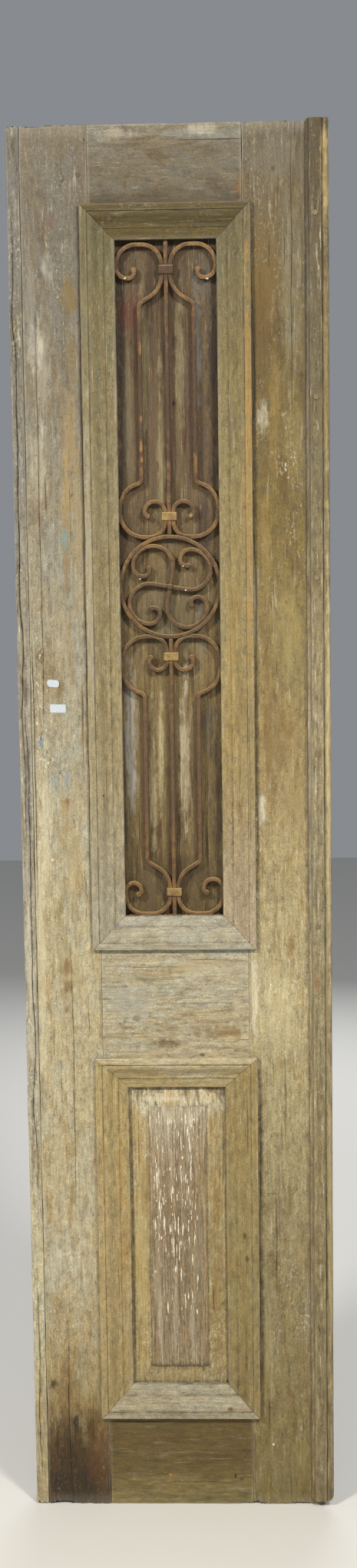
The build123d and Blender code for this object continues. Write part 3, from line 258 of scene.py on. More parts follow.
class Graph:
    """Adds nodes to one material or group tree, and links them."""

    def __init__(self, tree):
        self.tree = tree

    def add(self, kind, inputs=None, **settings):
        made = self.tree.nodes.new(kind)
        for name, value in settings.items():
            setattr(made, name, value)
        for key, value in (inputs or {}).items():
            self.feed(made.inputs[key], value)
        return made

    def feed(self, socket, value):
        if isinstance(value, bpy.types.NodeSocket):
            self.tree.links.new(value, socket)
        else:
            socket.default_value = value

    def math(self, operation, first, second):
        return self.add("ShaderNodeMath", {0: first, 1: second}, operation=operation).outputs[0]

    def plus(self, first, second):
        return self.math("ADD", first, second)

    def less(self, first, second):
        return self.math("SUBTRACT", first, second)

    def times(self, first, second):
        return self.math("MULTIPLY", first, second)

    def vector(self, operation, first, second=(0, 0, 0)):
        return self.add("ShaderNodeVectorMath", {0: first, 1: second}, operation=operation).outputs

    def parts(self, vector):
        return self.add("ShaderNodeSeparateXYZ", {0: vector}).outputs

    def blend(self, amount, first, second, mode="MIX"):
        made = self.add("ShaderNodeMix", {0: amount, 6: first, 7: second},
                        data_type="RGBA", blend_type=mode, clamp_factor=True)
        return made.outputs[2]

    def span(self, value, low, high, to_low=0.0, to_high=1.0):
        made = self.add("ShaderNodeMapRange", {0: value, 1: low, 2: high, 3: to_low, 4: to_high},
                        interpolation_type="SMOOTHSTEP")
        return made.outputs[0]

    def scaled(self, vector, scale, location=(0, 0, 0), rotation=(0, 0, 0)):
        made = self.add("ShaderNodeMapping", {0: vector, 1: location, 2: rotation, 3: scale})
        return made.outputs[0]

    def noise(self, vector, scale, detail=3.0, roughness=0.55, distortion=0.0):
        inputs = {"Vector": vector, "Scale": scale, "Detail": detail, "Roughness": roughness,
                  "Distortion": distortion}
        return self.add("ShaderNodeTexNoise", inputs).outputs[0]

    def effect(self, name, **values):
        """The outputs of one placed effect, whose inputs have the given values."""
        made = self.add("ShaderNodeGroup", node_tree=EFFECTS[name])
        for key, value in values.items():
            self.feed(made.inputs[key], value)
        return made.outputs

    def spot(self, place, x, front, z, reach_x, reach_y, reach_z, ragged=RAGGED):
        """The mask of one ragged spot, its place and reach in millimetres."""
        centre = (x * MM, front * MM, z * MM)
        reach = (reach_x * MM, reach_y * MM, reach_z * MM)
        return self.effect("ragged_spot", Vector=place, Centre=centre, Reach=reach, Ragged=ragged)["Mask"]

    def surface(self, shader, colour, roughness, relief, strength, distance):
        """Feeds a shader its colour, roughness and relief, whose depth is in millimetres."""
        self.feed(shader.inputs["Base Color"], colour)
        self.feed(shader.inputs["Roughness"], roughness)
        bump = self.add("ShaderNodeBump", {"Height": relief, "Strength": strength, "Distance": distance * MM})
        self.feed(shader.inputs["Normal"], bump.outputs[0])


def effect(name, inputs, outputs):
    """A new node group with named sockets, its graph and the socket ends of its inputs."""
    tree = bpy.data.node_groups.new(name, "ShaderNodeTree")
    for kind, label, default in inputs:
        socket = tree.interface.new_socket(label, in_out="INPUT", socket_type="NodeSocket" + kind)
        if default is not None:
            socket.default_value = default
    for kind, label in outputs:
        tree.interface.new_socket(label, in_out="OUTPUT", socket_type="NodeSocket" + kind)
    graph = Graph(tree)
    return tree, graph, graph.add("NodeGroupInput").outputs, graph.add("NodeGroupOutput").inputs


def make_figure_effect():
    """The patches, grain and scrapes of stripped wood whose length runs along Z of its vector."""
    tree, g, given, out = effect(
        "wood_figure",
        [("Vector", "Vector", None), ("Float", "Seed", 0.0), ("Float", "Lines", 90.0)],
        [("Float", "Cool"), ("Float", "Warm"), ("Float", "Mottle"), ("Float", "Streak"), ("Float", "Grain"),
         ("Float", "Lines"), ("Float", "Scrapes"), ("Float", "Pits"), ("Float", "Checks")],
    )
    seed = given["Seed"]
    offset = g.add("ShaderNodeCombineXYZ", {0: seed, 1: g.times(seed, 0.73), 2: g.times(seed, 1.9)})
    place = g.vector("ADD", given["Vector"], offset.outputs[0])[0]

    def stretched(scale, detail, roughness, distortion=0.0, shift=0.0):
        moved = g.scaled(place, scale, location=(shift, shift, shift))
        return g.noise(moved, 1.0, detail, roughness, distortion)

    g.feed(out["Cool"], stretched((34, 34, 9), 9.0, 0.68, 0.8))
    g.feed(out["Warm"], stretched((38, 38, 8), 9.0, 0.66, 0.9, 5.0))
    g.feed(out["Mottle"], stretched((120, 120, 62), 6.0, 0.62, 0.4, 7.0))
    g.feed(out["Streak"], stretched((260, 260, 20), 5.0, 0.68, 0.3))
    g.feed(out["Grain"], stretched((640, 640, 470), 3.0, 0.7))
    drift = g.times(g.less(stretched((9, 9, 1.1), 2.0, 0.5, 0.0, 9.0), 0.5), 0.05)
    wave = g.math("PINGPONG", g.times(g.plus(g.parts(place)[0], drift), given["Lines"]), 0.5)
    g.feed(out["Lines"], g.span(wave, 0.3, 0.5))
    cluster = g.span(stretched((20, 20, 8), 5.0, 0.65, 0.4, 3.0), 0.42, 0.64)
    scrapes = stretched((330, 330, 150), 3.0, 0.6, 0.25, 4.0)
    g.feed(out["Scrapes"], g.times(g.span(scrapes, 0.56, 0.63), cluster))
    g.feed(out["Pits"], g.span(stretched((230, 230, 90), 5.0, 0.7, 0.6, 6.0), 0.6, 0.72))
    g.feed(out["Checks"], g.span(stretched((210, 210, 4.5), 3.0, 0.55, 0.35, 8.0), 0.68, 0.72))
    return tree


def make_spot_effect():
    """A soft, ragged spot round one place, such as a stain or a knot."""
    tree, g, given, out = effect(
        "ragged_spot",
        [("Vector", "Vector", None), ("Vector", "Centre", (0, 0, 0)), ("Vector", "Reach", (1, 1, 1)),
         ("Float", "Ragged", RAGGED), ("Float", "Scale", 85.0)],
        [("Float", "Mask")],
    )
    away = g.vector("SUBTRACT", given["Vector"], given["Centre"])[0]
    far = g.vector("LENGTH", g.vector("DIVIDE", away, given["Reach"])[0])["Value"]
    stretched = g.scaled(given["Vector"], (1, 1, 0.45))
    torn = g.less(g.noise(stretched, given["Scale"], 7.0, 0.7), 0.5)
    edge = g.plus(far, g.times(torn, given["Ragged"]))
    g.feed(out["Mask"], g.span(edge, 1.05, 0.35))
    return tree


def blank_material(name):
    """A material with only its output and shader, its graph, the shader and the object's vector."""
    made = bpy.data.materials.new(name)
    made.use_nodes = True
    made.node_tree.nodes.clear()
    graph = Graph(made.node_tree)
    shader = graph.add("ShaderNodeBsdfPrincipled")
    graph.add("ShaderNodeOutputMaterial", {0: shader.outputs[0]})
    place = graph.add("ShaderNodeTexCoord").outputs["Object"]
    return made, graph, shader, place


def wood(name, seed, stops, level=False, cool=0.7, warm=0.6, mottle=0.5, streak=0.26, lines=0.03,
         pitch=90.0, scrapes=0.4, pits=0.45, checks=0.6, squeeze=(1, 1, 1), flecked=(), front=LEAF_FRONT,
         pale="e9e4d0", dark="33291b", cool_tint=(0.97, 1.1, 1.34, 1), warm_tint=(0.68, 0.54, 0.31, 1)):
    """Stripped wood: a tone for each height, cool and warm patches, grain, scrapes, spots, and painted shade
    with some grime in creases and gaps.

    A stop is (height, colour) and a flecked part (x, z, reach across, reach up, extra scrapes), in
    millimetres. Spots and flecked parts lie on the piece's front, at y = front.
    """
    made, g, shader, place = blank_material(name)
    turn = (0, math.radians(90), 0) if level else (0, 0, 0)
    along = g.scaled(g.scaled(place, (1, 1, 1), rotation=turn), squeeze)
    figure = g.effect("wood_figure", Vector=along, Seed=seed, Lines=pitch)
    torn = g.times(g.less(figure["Cool"], 0.5), 0.25)
    ramp = g.add("ShaderNodeValToRGB", {0: g.math("DIVIDE", g.plus(g.parts(place)[2], torn), LEAF_TOP)})
    for i, (at, tone) in enumerate(stops):
        stop = ramp.color_ramp.elements[i] if i < 2 else ramp.color_ramp.elements.new(1.0)
        stop.position = at * MM / LEAF_TOP
        stop.color = shade(tone)
    colour = ramp.outputs[0]
    grain, darkening, bone = figure["Grain"], shade(dark), shade(pale)
    for mask, tint, mode in (
        (g.span(figure["Cool"], 0.45, 0.6, 0.0, cool), cool_tint, "MULTIPLY"),
        (g.span(figure["Warm"], 0.52, 0.63, 0.0, warm), warm_tint, "MULTIPLY"),
        (g.span(figure["Mottle"], 0.5, 0.34, 0.0, mottle), MOTTLE_DARK, "MULTIPLY"),
        (g.span(figure["Mottle"], 0.5, 0.66, 0.0, mottle), MOTTLE_LIGHT, "MULTIPLY"),
        (g.span(figure["Streak"], 0.46, 0.68, 0.0, streak), darkening, "MIX"),
        (g.span(figure["Streak"], 0.44, 0.28, 0.0, 0.7 * streak), bone, "MIX"),
        (g.times(figure["Lines"], lines), darkening, "MIX"),
        (g.span(grain, 0.52, 0.34, 0.0, 0.6), GRAIN_DARK, "MULTIPLY"),
        (g.span(grain, 0.5, 0.68, 0.0, 0.6), GRAIN_LIGHT, "MULTIPLY"),
    ):
        colour = g.blend(mask, colour, tint, mode)

    def spot_mask(x, z, reach_x, reach_z):
        ragged = CLEAN if reach_x + reach_z < SMALL_SPOT else RAGGED
        return g.spot(place, x, front, z, reach_x, WOOD_SPOT_DEPTH, reach_z, ragged)

    broken = g.span(g.plus(figure["Mottle"], figure["Streak"]), 1.12, 0.88, 0.5, 1.0)
    for x, z, reach_x, reach_z, tone, strength in SPOTS.get(name, ()):
        mask = g.times(spot_mask(x, z, reach_x, reach_z), strength)
        if reach_x + reach_z >= SMALL_SPOT:
            mask = g.times(mask, broken)
        colour = g.blend(mask, colour, shade(tone))
    for x, z, reach_x, reach_z, extra in flecked:
        scrapes = g.plus(g.times(spot_mask(x, z, reach_x, reach_z), extra), scrapes)
    # Painted shade, with some grime, where the piece marks creases and gaps; worn edges turn pale.
    grime_and_shade = g.add("ShaderNodeAttribute", attribute_name="grime_and_shade").outputs["Fac"]
    worn = g.add("ShaderNodeAttribute", attribute_name="worn").outputs["Fac"]
    for mask, amount, tone in (
        (figure["Scrapes"], scrapes, "dad4c0"), (figure["Pits"], pits, dark),
        (figure["Checks"], checks, "1f170e"),
        (grime_and_shade, g.span(figure["Mottle"], 0.66, 0.3, 0.25, 1.0), "2b2217"), (worn, 0.12, pale),
    ):
        colour = g.blend(g.times(mask, amount), colour, shade(tone))
    relief = g.times(figure["Mottle"], 1.4)
    for key, depth in (("Grain", 0.8), ("Streak", 0.5), ("Scrapes", 0.35), ("Pits", -0.5), ("Checks", -1.0)):
        relief = g.plus(relief, g.times(figure[key], depth))
    g.surface(shader, colour, g.span(figure["Mottle"], 0.3, 0.7, 0.72, 0.95), relief, 1.0, 1.3)
    return made


def iron(name, seed, bright, dull, dark, shine=0.0, pit=0.5, dust_and_highlight=None):
    """Rusted iron: two rust tones, spots, dark pits, a pitted relief, dust with a painted highlight on what
    faces up, and painted shade on what faces down.
    """
    made, g, shader, place = blank_material(name)
    broad = g.noise(g.scaled(place, (1, 1, 1), location=(seed, 0, seed)), 60.0, 5.0, 0.65)
    fine = g.noise(place, 420.0, 4.0, 0.7)
    pits = g.span(g.noise(place, 700.0, 2.0, 0.6), 0.58, 0.68)
    colour = g.blend(g.span(broad, 0.38, 0.62), shade(dull), shade(bright))
    for x, z, reach_x, reach_z, tone, strength in SPOTS.get(name, ()):
        mask = g.spot(place, x, 0, z, reach_x, IRON_SPOT_DEPTH, reach_z)
        colour = g.blend(g.times(mask, strength), colour, shade(tone))
    if dust_and_highlight:
        # Dust and a painted highlight on what faces up, painted shade on what faces down.
        up = g.parts(g.add("ShaderNodeNewGeometry").outputs["Normal"])[2]
        dust_and_highlight_mask = g.times(g.span(up, 0.0, 0.8), g.span(fine, 0.3, 0.6, 0.3, 0.9))
        colour = g.blend(dust_and_highlight_mask, colour, shade(dust_and_highlight))
        colour = g.blend(g.span(up, -0.1, -0.8, 0.0, 0.65), colour, shade(dark))
    colour = g.blend(g.span(fine, 0.4, 0.75, 0.0, 0.6), colour, shade(dark))
    colour = g.blend(g.times(pits, pit), colour, shade("1d130d"))
    shader.inputs["Metallic"].default_value = shine
    g.surface(shader, colour, g.span(fine, 0.3, 0.7, 0.62, 0.9), g.less(g.times(fine, 0.9), pits), 0.8, 0.7)
    return made


def nothing_selected():
    """Leaves nothing selected, so that an operator acts only on what is added next."""
    bpy.ops.object.select_all(action="DESELECT")


def only(piece):
    """Selects one piece and makes it active."""
    nothing_selected()
    piece.select_set(True)
    bpy.context.view_layer.objects.active = piece


@contextmanager
def editing():
    """Edit mode with every part of the mesh selected, for as long as the block runs."""
    bpy.ops.object.mode_set(mode="EDIT")
    bpy.ops.mesh.select_all(action="SELECT")
    yield
    bpy.ops.object.mode_set(mode="OBJECT")


def joined(pieces, name):
    """Joins pieces into the first of them and names it."""
    only(pieces[0])
    for piece in pieces[1:]:
        piece.select_set(True)
    bpy.ops.object.join()
    pieces[0].name = pieces[0].data.name = name
    return pieces[0]


def extrude(x, y, z):
    """Extrudes the selected faces by a vector in metres."""
    bpy.ops.mesh.extrude_region_move(TRANSFORM_OT_translate={"value": (x, y, z)})


def slice_at(axis, place):
    """Cuts the whole mesh along a plane across an axis, at a place in millimetres."""
    normal = [float(i == axis) for i in range(3)]
    bpy.ops.mesh.select_all(action="SELECT")
    bpy.ops.mesh.bisect(plane_co=[place * MM * n for n in normal], plane_no=normal)


def points_of(piece):
    """The piece's vertices as an array of rows."""
    flat = np.empty(len(piece.data.vertices) * 3)
    piece.data.vertices.foreach_get("co", flat)
    return flat.reshape(-1, 3)


def set_points(piece, points):
    """Writes an array of rows back to the piece's vertices."""
    piece.data.vertices.foreach_set("co", np.asarray(points, float).ravel())
    piece.data.update()


def rough(points, scale, seed):
    """Smooth noise between about -1 and 1 at each row of points."""
    at = np.asarray(points) * np.asarray(scale, float) + seed
    return np.array([noise.noise(Vector(p)) for p in at])


def added(kind, name=None, **settings):
    """A new primitive mesh of one kind, added with nothing selected."""
    nothing_selected()
    getattr(bpy.ops.mesh, f"primitive_{kind}_add")(**settings)
    piece = bpy.context.object
    piece.name = piece.data.name = name or kind
    return piece


def drawn_out(name, section, cuts):
    """A closed section drawn up one metre from the ground and cut across into even lengths."""
    piece = added("circle", name, vertices=len(section), radius=0.01, fill_type="NGON")
    set_points(piece, [(a, b, 0.0) for a, b in section])
    bpy.context.tool_settings.mesh_select_mode = (False, False, True)
    with editing():
        extrude(0, 0, 1)
        bpy.ops.mesh.select_all(action="DESELECT")
        bpy.context.tool_settings.mesh_select_mode = (False, True, False)
    corners = piece.data.vertices
    for edge in piece.data.edges:
        low, high = edge.vertices
        edge.select = abs(corners[low].co.z - corners[high].co.z) > 0.5
    bpy.ops.object.mode_set(mode="EDIT")
    bpy.ops.mesh.subdivide(number_cuts=cuts)
    bpy.ops.mesh.select_all(action="SELECT")
    bpy.ops.mesh.normals_make_consistent(inside=False)
    bpy.ops.object.mode_set(mode="OBJECT")
    return piece


def finish_piece(piece, material, body, nodes=(), angle=38):
    """Smooths a piece, gives it its finish and body, and hides the CAD nodes it stands for."""
    only(piece)
    with editing():
        bpy.ops.mesh.normals_make_consistent(inside=False)
    bpy.ops.object.shade_smooth_by_angle(angle=math.radians(angle))
    piece.data.materials.clear()
    piece.data.materials.append(material)
    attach(piece, body)
    if nodes:
        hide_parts(*nodes)
    return piece


def paint_node(name, material):
    """Gives a CAD node, whose mesh is left alone, a better finish."""
    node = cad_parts[name]
    if not node.data.materials:
        node.data.materials.append(material)
    for place in node.material_slots:
        place.material = material


def copied_node(name, piece_name):
    """A copy of a CAD node's mesh with its loose corners merged."""
    nothing_selected()
    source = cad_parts[name]
    piece = bpy.data.objects.new(piece_name, source.data.copy())
    piece.data.name = piece_name
    bpy.context.collection.objects.link(piece)
    only(piece)
    with editing():
        bpy.ops.mesh.remove_doubles(threshold=0.00002)
    return piece


def mark(piece, name, amounts):
    """Keeps how worn each vertex is, or how much painted shade and grime it gets, for the finish to read."""
    made = piece.data.attributes.new(name, "FLOAT", "POINT")
    made.data.foreach_set("value", np.clip(amounts, 0, 1).astype(np.float32))


def near(values, place, reach):
    """One at a place and less away from it, down to nothing a few reaches off."""
    return np.exp(-((values - place) / reach) ** 2)


def rounded(past, radius):
    """How far a corner of one radius falls away, at places past the start of its curve."""
    return np.where(past > 0, radius - np.sqrt(np.clip(radius ** 2 - past ** 2, 0, None)), 0)


def plank_section(low, high, front, back, ease, step, splits=()):
    """A plank's outline with eased corners, and points across its wide faces at even steps.

    A split is the place of a crack in the front face, and gets three close points.
    """
    count = max(2, round((high - low) / step))
    front_points = [low + (high - low) * i / count for i in range(1, count)]
    for at in splits:
        front_points = [p for p in front_points if abs(p - at) > CRACK_ROOM]
        front_points += [at - HALF_CRACK, at, at + HALF_CRACK]
    back_points = [low + (high - low) * i / 6 for i in range(1, 6)]
    outline = [(low, front + ease), (low + ease * 0.3, front + ease * 0.3), (low + ease, front)]
    outline += [(p, front) for p in sorted(front_points)]
    outline += [(high - ease, front), (high - ease * 0.3, front + ease * 0.3), (high, front + ease)]
    outline += [(high, back - ease), (high - ease, back)]
    outline += [(p, back) for p in reversed(back_points)]
    outline += [(low + ease, back), (low, back - ease)]
    return outline


def board(name, across, depth, length, material, level=False, ease=1.2, step=6.0, cuts=110,
          cracks=(), wander=2.0, wear=1.0, seed=0.0, body="leaf", nodes=(), ragged=(0.0, 0.0)):
    """A worn length of wood between plain faces, its sizes in millimetres.

    A crack is (place across, start, end, depth). Level boards run along X, others along Z.
    """
    low, high = across[0] * MM, across[1] * MM
    front, back = depth[0] * MM, depth[1] * MM
    start, end = length[0] * MM, length[1] * MM
    splits = [c[0] * MM for c in cracks]
    piece = drawn_out(name, plank_section(low, high, front, back, ease * MM, step * MM, splits), cuts)
    local = points_of(piece)
    side, deep = local[:, 0].copy(), local[:, 1].copy()
    run = start + local[:, 2] * (end - start)
    spot = np.stack([side, deep, run], 1)
    at_front = deep < front + ease * MM * 0.5
    at_edge = (np.minimum(side - low, high - side) < ease * 1.1 * MM) & (deep < front + ease * 1.1 * MM)
    at_start, at_stop = local[:, 2] < 1e-6, local[:, 2] > 1 - 1e-6
    wave = rough(spot, (9, 9, 3.5), seed)
    fine = rough(spot, (60, 60, 34), seed + 7)
    chips = np.clip(rough(spot, (16, 16, 21), seed + 3) - 0.28, 0, 1)
    inward = np.sign((low + high) / 2 - side)
    bite = wear * MM * (0.25 * np.abs(fine) + 3.4 * chips)
    side = side + np.where(at_edge, inward * bite, 0)
    deep = deep + np.where(at_edge, bite * 0.8, 0)
    deep = deep + np.where(at_front & ~at_edge, wear * MM * (0.35 * wave + 0.16 * fine), 0)
    darkening = np.zeros(len(side))
    along = np.stack([run * 0, run * 0, run], 1)
    for place, first, last, sink in cracks:
        off = local[:, 0] - place * MM
        share = np.clip((run - first * MM) / ((last - first) * MM), 0, 1)
        gape = np.sqrt(np.sin(np.pi * share).clip(0, 1))
        line = rough(along, (1, 1, 9), seed + place) + 0.35 * rough(along, (1, 1, 55), seed + place)
        side = side + at_front * near(off, 0, 7 * MM) * line * wander * MM
        deep = deep + np.where(at_front & (np.abs(off) < 0.1 * MM), gape * sink * MM, 0)
        beside = at_front & (np.abs(np.abs(off) - HALF_CRACK) < 0.1 * MM)
        side = side + np.where(beside, np.sign(off) * (gape * 0.5 - 0.3) * MM, 0)
        # Painted shade, with some grime, down the open length of each crack.
        darkening += (share > 0) * (share < 1) * min(0.9, 0.3 * sink) * near(off, 0, 0.6 * MM)
    if any(ragged):
        section = np.stack([side, deep, side * 0], 1)
        torn, broad = rough(section, (260, 90, 1), seed + 11), rough(section, (30, 20, 1), seed + 13)
        tear = np.clip(0.5 + 0.9 * torn + 0.8 * broad, 0, 1.2) * MM
        run = run + np.where(at_start, tear * ragged[0], 0) - np.where(at_stop, tear * ragged[1], 0)
    placed = np.stack([run, deep, side], 1) if level else np.stack([side, deep, run], 1)
    set_points(piece, placed)
    mark(piece, "worn", np.where(at_edge | at_start | at_stop, 0.55 + 2.0 * chips, 0.0))
    mark(piece, "grime_and_shade", darkening * at_front)
    return finish_piece(piece, material, body, nodes)


def forged(name, node, material, voxel, hammer, seed):
    """A CAD bar remeshed into one skin, then dented as hammered iron."""
    piece = copied_node(node, name)
    remesh = piece.modifiers.new("one_skin", "REMESH")
    remesh.mode = "VOXEL"
    remesh.voxel_size = voxel * MM
    bpy.ops.object.modifier_apply(modifier=remesh.name)
    points = points_of(piece)
    normals = np.array([v.normal for v in piece.data.vertices])
    dents = 0.6 * rough(points, (95, 95, 95), seed) + 0.4 * rough(points, (260, 260, 260), seed + 5)
    set_points(piece, points + normals * dents[:, None] * hammer * MM)
    return finish_piece(piece, material, "leaf", (node,), angle=60)


def bezier(a, b, c, d, steps):
    """Points along a curve from a to d, without its two ends."""
    made = []
    for i in range(1, steps):
        u = i / steps
        v = 1 - u
        made.append(tuple(v ** 3 * p + 3 * v * v * u * q + 3 * v * u * u * r + u ** 3 * s
                          for p, q, r, s in zip(a, b, c, d)))
    return made


def arc(centre, radius, start, end, steps):
    """Points of an arc from one angle to another, both ends included."""
    angles = [math.radians(start + (end - start) * i / steps) for i in range(steps + 1)]
    return [(centre[0] + radius * math.cos(v), centre[1] + radius * math.sin(v)) for v in angles]


def mould_outline():
    """Section of the bolection moulding in millimetres: in from its outer edge, and proud of the stile."""
    return ([(0.0, 0.0), (0.0, 3.5), (0.0, 7.2)] + arc((1.6, 7.4), 1.6, 180, 90, 4)[1:]
            + [(3.8, 9.0), (6.2, 9.05), (8.6, 9.0)] + arc((10.7, 8.2), 0.8, 90, 0, 3) + [(11.5, 6.4)]
            + bezier((11.5, 6.4), (22.63, 8.4), (25.28, -4.1), (38.0, -4.5), 14)
            + [(38.0, -4.5), (38.0, -5.7), (43.0, -6.9), (48.0, -8.0), (54.2, -9.5)]
            + arc((54.2, -11.3), 1.8, 90, 0, 3)[1:]
            + [(56.0, -17.0), (35.0, -17.0), (14.5, -17.0), (14.5, 0.0)])


def moulding(name, side, window, material, cuts, seed, wear):
    """One mitred length of moulding round a window of the leaf: x and z of its outer edges."""
    left, right, bottom, top = window
    outline = [(a * MM, FRONT_Y - h * MM) for a, h in mould_outline()]
    piece = drawn_out(name + "_worn", outline, cuts)
    local = points_of(piece)
    across, deep, share = local[:, 0].copy(), local[:, 1].copy(), local[:, 2]
    level = side in ("top", "bottom")
    first, last = (left, right) if level else (bottom, top)
    mitre = across + MITRE_GAP
    run = first * MM + mitre + share * ((last - first) * MM - 2 * mitre)
    spot = np.stack([across, deep, run], 1)
    fine = rough(spot, (70, 70, 40), seed)
    chips = np.clip(rough(spot, (30, 30, 24), seed + 3) - 0.36, 0, 1)
    proud = deep < FRONT_Y + 6 * MM
    outer = (across < 2.2 * MM) | (np.abs(across - 11.3 * MM) < 0.6 * MM)
    nose = across > 53 * MM
    at_edge = (outer & proud) | nose
    deep = deep + np.where(proud | nose, wear * MM * 0.18 * fine, 0)
    deep = deep + np.where(at_edge, wear * MM * (2.6 * chips + 0.2 * np.abs(fine)), 0)
    across = across + np.where(across < 1.8 * MM, wear * MM * (2.2 * chips), 0)
    place = {"left": left * MM + across, "right": right * MM - across,
             "bottom": bottom * MM + across, "top": top * MM - across}[side]
    placed = np.stack([run, deep, place], 1) if level else np.stack([place, deep, run], 1)
    set_points(piece, placed)
    mark(piece, "worn", np.where(at_edge, 0.35 + 2 * chips, 0.0))
    # Painted shade in the quirk, at the step and along both feet of the moulding, with some grime, patchy
    # along its length.
    u = local[:, 0] / MM
    darkening = sum(k * near(u, at, reach) for k, at, reach in (
        (0.9, 11.6, 0.9), (0.6, 38.0, 0.8), (0.8, 0.0, 0.5), (1.1, 56.0, 1.5)))
    mark(piece, "grime_and_shade", darkening * (0.6 + 0.8 * rough(spot, (30, 30, 9), seed + 9)))
    return finish_piece(piece, material, "leaf", (name,), angle=32)


class DOOR_PG_wood(bpy.types.PropertyGroup):
    """What a user may change on the wood."""

    edge_wear: FloatProperty(name="Edge Wear", description="How far edges are worn and chipped",
                             default=1.0, min=0.0)
    flake_count: IntProperty(name="Paint Flakes", description="Flakes of old paint on the panel",
                             default=170, min=1)


class DOOR_PG_iron(bpy.types.PropertyGroup):
    """What a user may change on the iron."""

    hammer_depth: FloatProperty(name="Hammer Depth", description="Depth of dents in the forged bars",
                                default=0.0004, unit="LENGTH")
    skin_size: FloatProperty(name="Skin Size", description="Size of the faces on forged bars",
                             default=0.0013, unit="LENGTH")


class DOOR_PG_stage(bpy.types.PropertyGroup):
    """What a user may change on the stage."""

    camera_place: FloatVectorProperty(name="Camera Place", description="Where the camera stands",
                                      default=(0.116, -3.282, 1.682), subtype="TRANSLATION", unit="LENGTH")
    camera_turn: FloatVectorProperty(name="Camera Turn", description="Yaw, pitch and roll",
                                     default=tuple(map(math.radians, (1.86, -7.09, 0.78))),
                                     subtype="EULER", unit="ROTATION")
    lens: FloatProperty(name="Lens", description="Focal length in millimetres", default=44.94)
    floor_colour: FloatVectorProperty(name="Floor Colour", description="Colour of the floor",
                                      default=(0.62, 0.61, 0.58), subtype="COLOR", min=0, max=1)
    light: FloatProperty(name="Light", description="Strength of all lights", default=1.0, min=0.0)


class DOOR_OT_effects(bpy.types.Operator):
    """Make the effects that finishes share"""

    bl_idname = "door.effects"
    bl_label = "Shared Effects"

    def execute(self, context):
        EFFECTS["wood_figure"] = make_figure_effect()
        EFFECTS["ragged_spot"] = make_spot_effect()
        return {"FINISHED"}


class DOOR_OT_stiles(bpy.types.Operator):
    """Make the two stiles"""

    bl_idname = "door.stiles"
    bl_label = "Stiles"

    def execute(self, context):
        wear = context.scene.door_wood.edge_wear
        left = wood("hinge_stile_wood", 1.3, (
            (0, "3f2c0e"), (90, "513a14"), (200, "8c794f"), (420, "a69a7a"), (980, "9f9372"),
            (1420, "8a826b"), (1900, "6a6251"), (2200, "5b5344"), (2352, "5c5445")), scrapes=0.12,
            flecked=((-222, 1150, 24, 500, 0.6), (-200, 500, 60, 400, 0.35), (-190, 2120, 30, 70, 0.3)))
        board("hinge_stile_worn", (-235, -125), LEAF_DEPTH, (0, 2350), left, seed=2.0, wear=wear,
              step=3.4, cuts=200, nodes=("hinge_stile",),
              cracks=((-231, 1080, 1520, 2.5), (-214, 1380, 2060, 1.8), (-176, 560, 980, 1.6),
                      (-141, 1000, 2215, 2.0), (-196, 40, 330, 2.0)), ragged=(6, 3))
        right = wood("meeting_stile_wood", 4.1, (
            (0, "6e6034"), (140, "76673e"), (420, "80734f"), (900, "a0946f"), (1250, "86764f"),
            (1700, "625228"), (2080, "564928"), (2300, "554d3c"), (2352, "544c3b")),
            scrapes=0.12, cool=0.35, flecked=((185, 900, 40, 110, 0.8), (200, 330, 50, 200, 0.35),
                                              (190, 1740, 30, 160, 0.4), (140, 1150, 14, 260, 0.5)))
        board("meeting_stile_worn", (125, 252), LEAF_DEPTH, (0, 2350), right, seed=9.0, wear=wear,
              step=3.6, cuts=200, nodes=("meeting_stile",),
              cracks=((169, 380, 590, 1.6), (205, 1900, 2330, 1.6), (186, 620, 830, 1.4),
                      (141.5, 165, 802, 5.0), (141.5, 998, 2222, 3.5)), ragged=(6, 2))
        return {"FINISHED"}


class DOOR_OT_rails(bpy.types.Operator):
    """Make the three rails"""

    bl_idname = "door.rails"
    bl_label = "Rails"

    def execute(self, context):
        wear = context.scene.door_wood.edge_wear
        top = wood("top_rail_wood", 6.2, (
            (2205, "433a29"), (2250, "564e3d"), (2320, "595141"), (2345, "696354")),
            level=True, streak=0.15, scrapes=0.05)
        middle = wood("middle_rail_wood", 7.7, ((790, "9e9273"), (1008, "968e75")), level=True,
                      streak=0.3, scrapes=0.12)
        bottom = wood("bottom_rail_wood", 8.9, (
            (0, "7d6e44"), (20, "75663c"), (60, "5f4e25"), (170, "5b4922")),
            level=True, scrapes=0.04, streak=0.2, warm=0.4)
        for name, rows, material, seed in (
            ("top_rail", (2211, 2350), top, 21.0), ("middle_rail", (792, 1008), middle, 24.0),
            ("bottom_rail", (0, 174), bottom, 27.0),
        ):
            board(name + "_worn", rows, LEAF_DEPTH, RAIL_ENDS, material, level=True, seed=seed,
                  wear=wear, step=4.0, cuts=60, nodes=(name,))
        return {"FINISHED"}


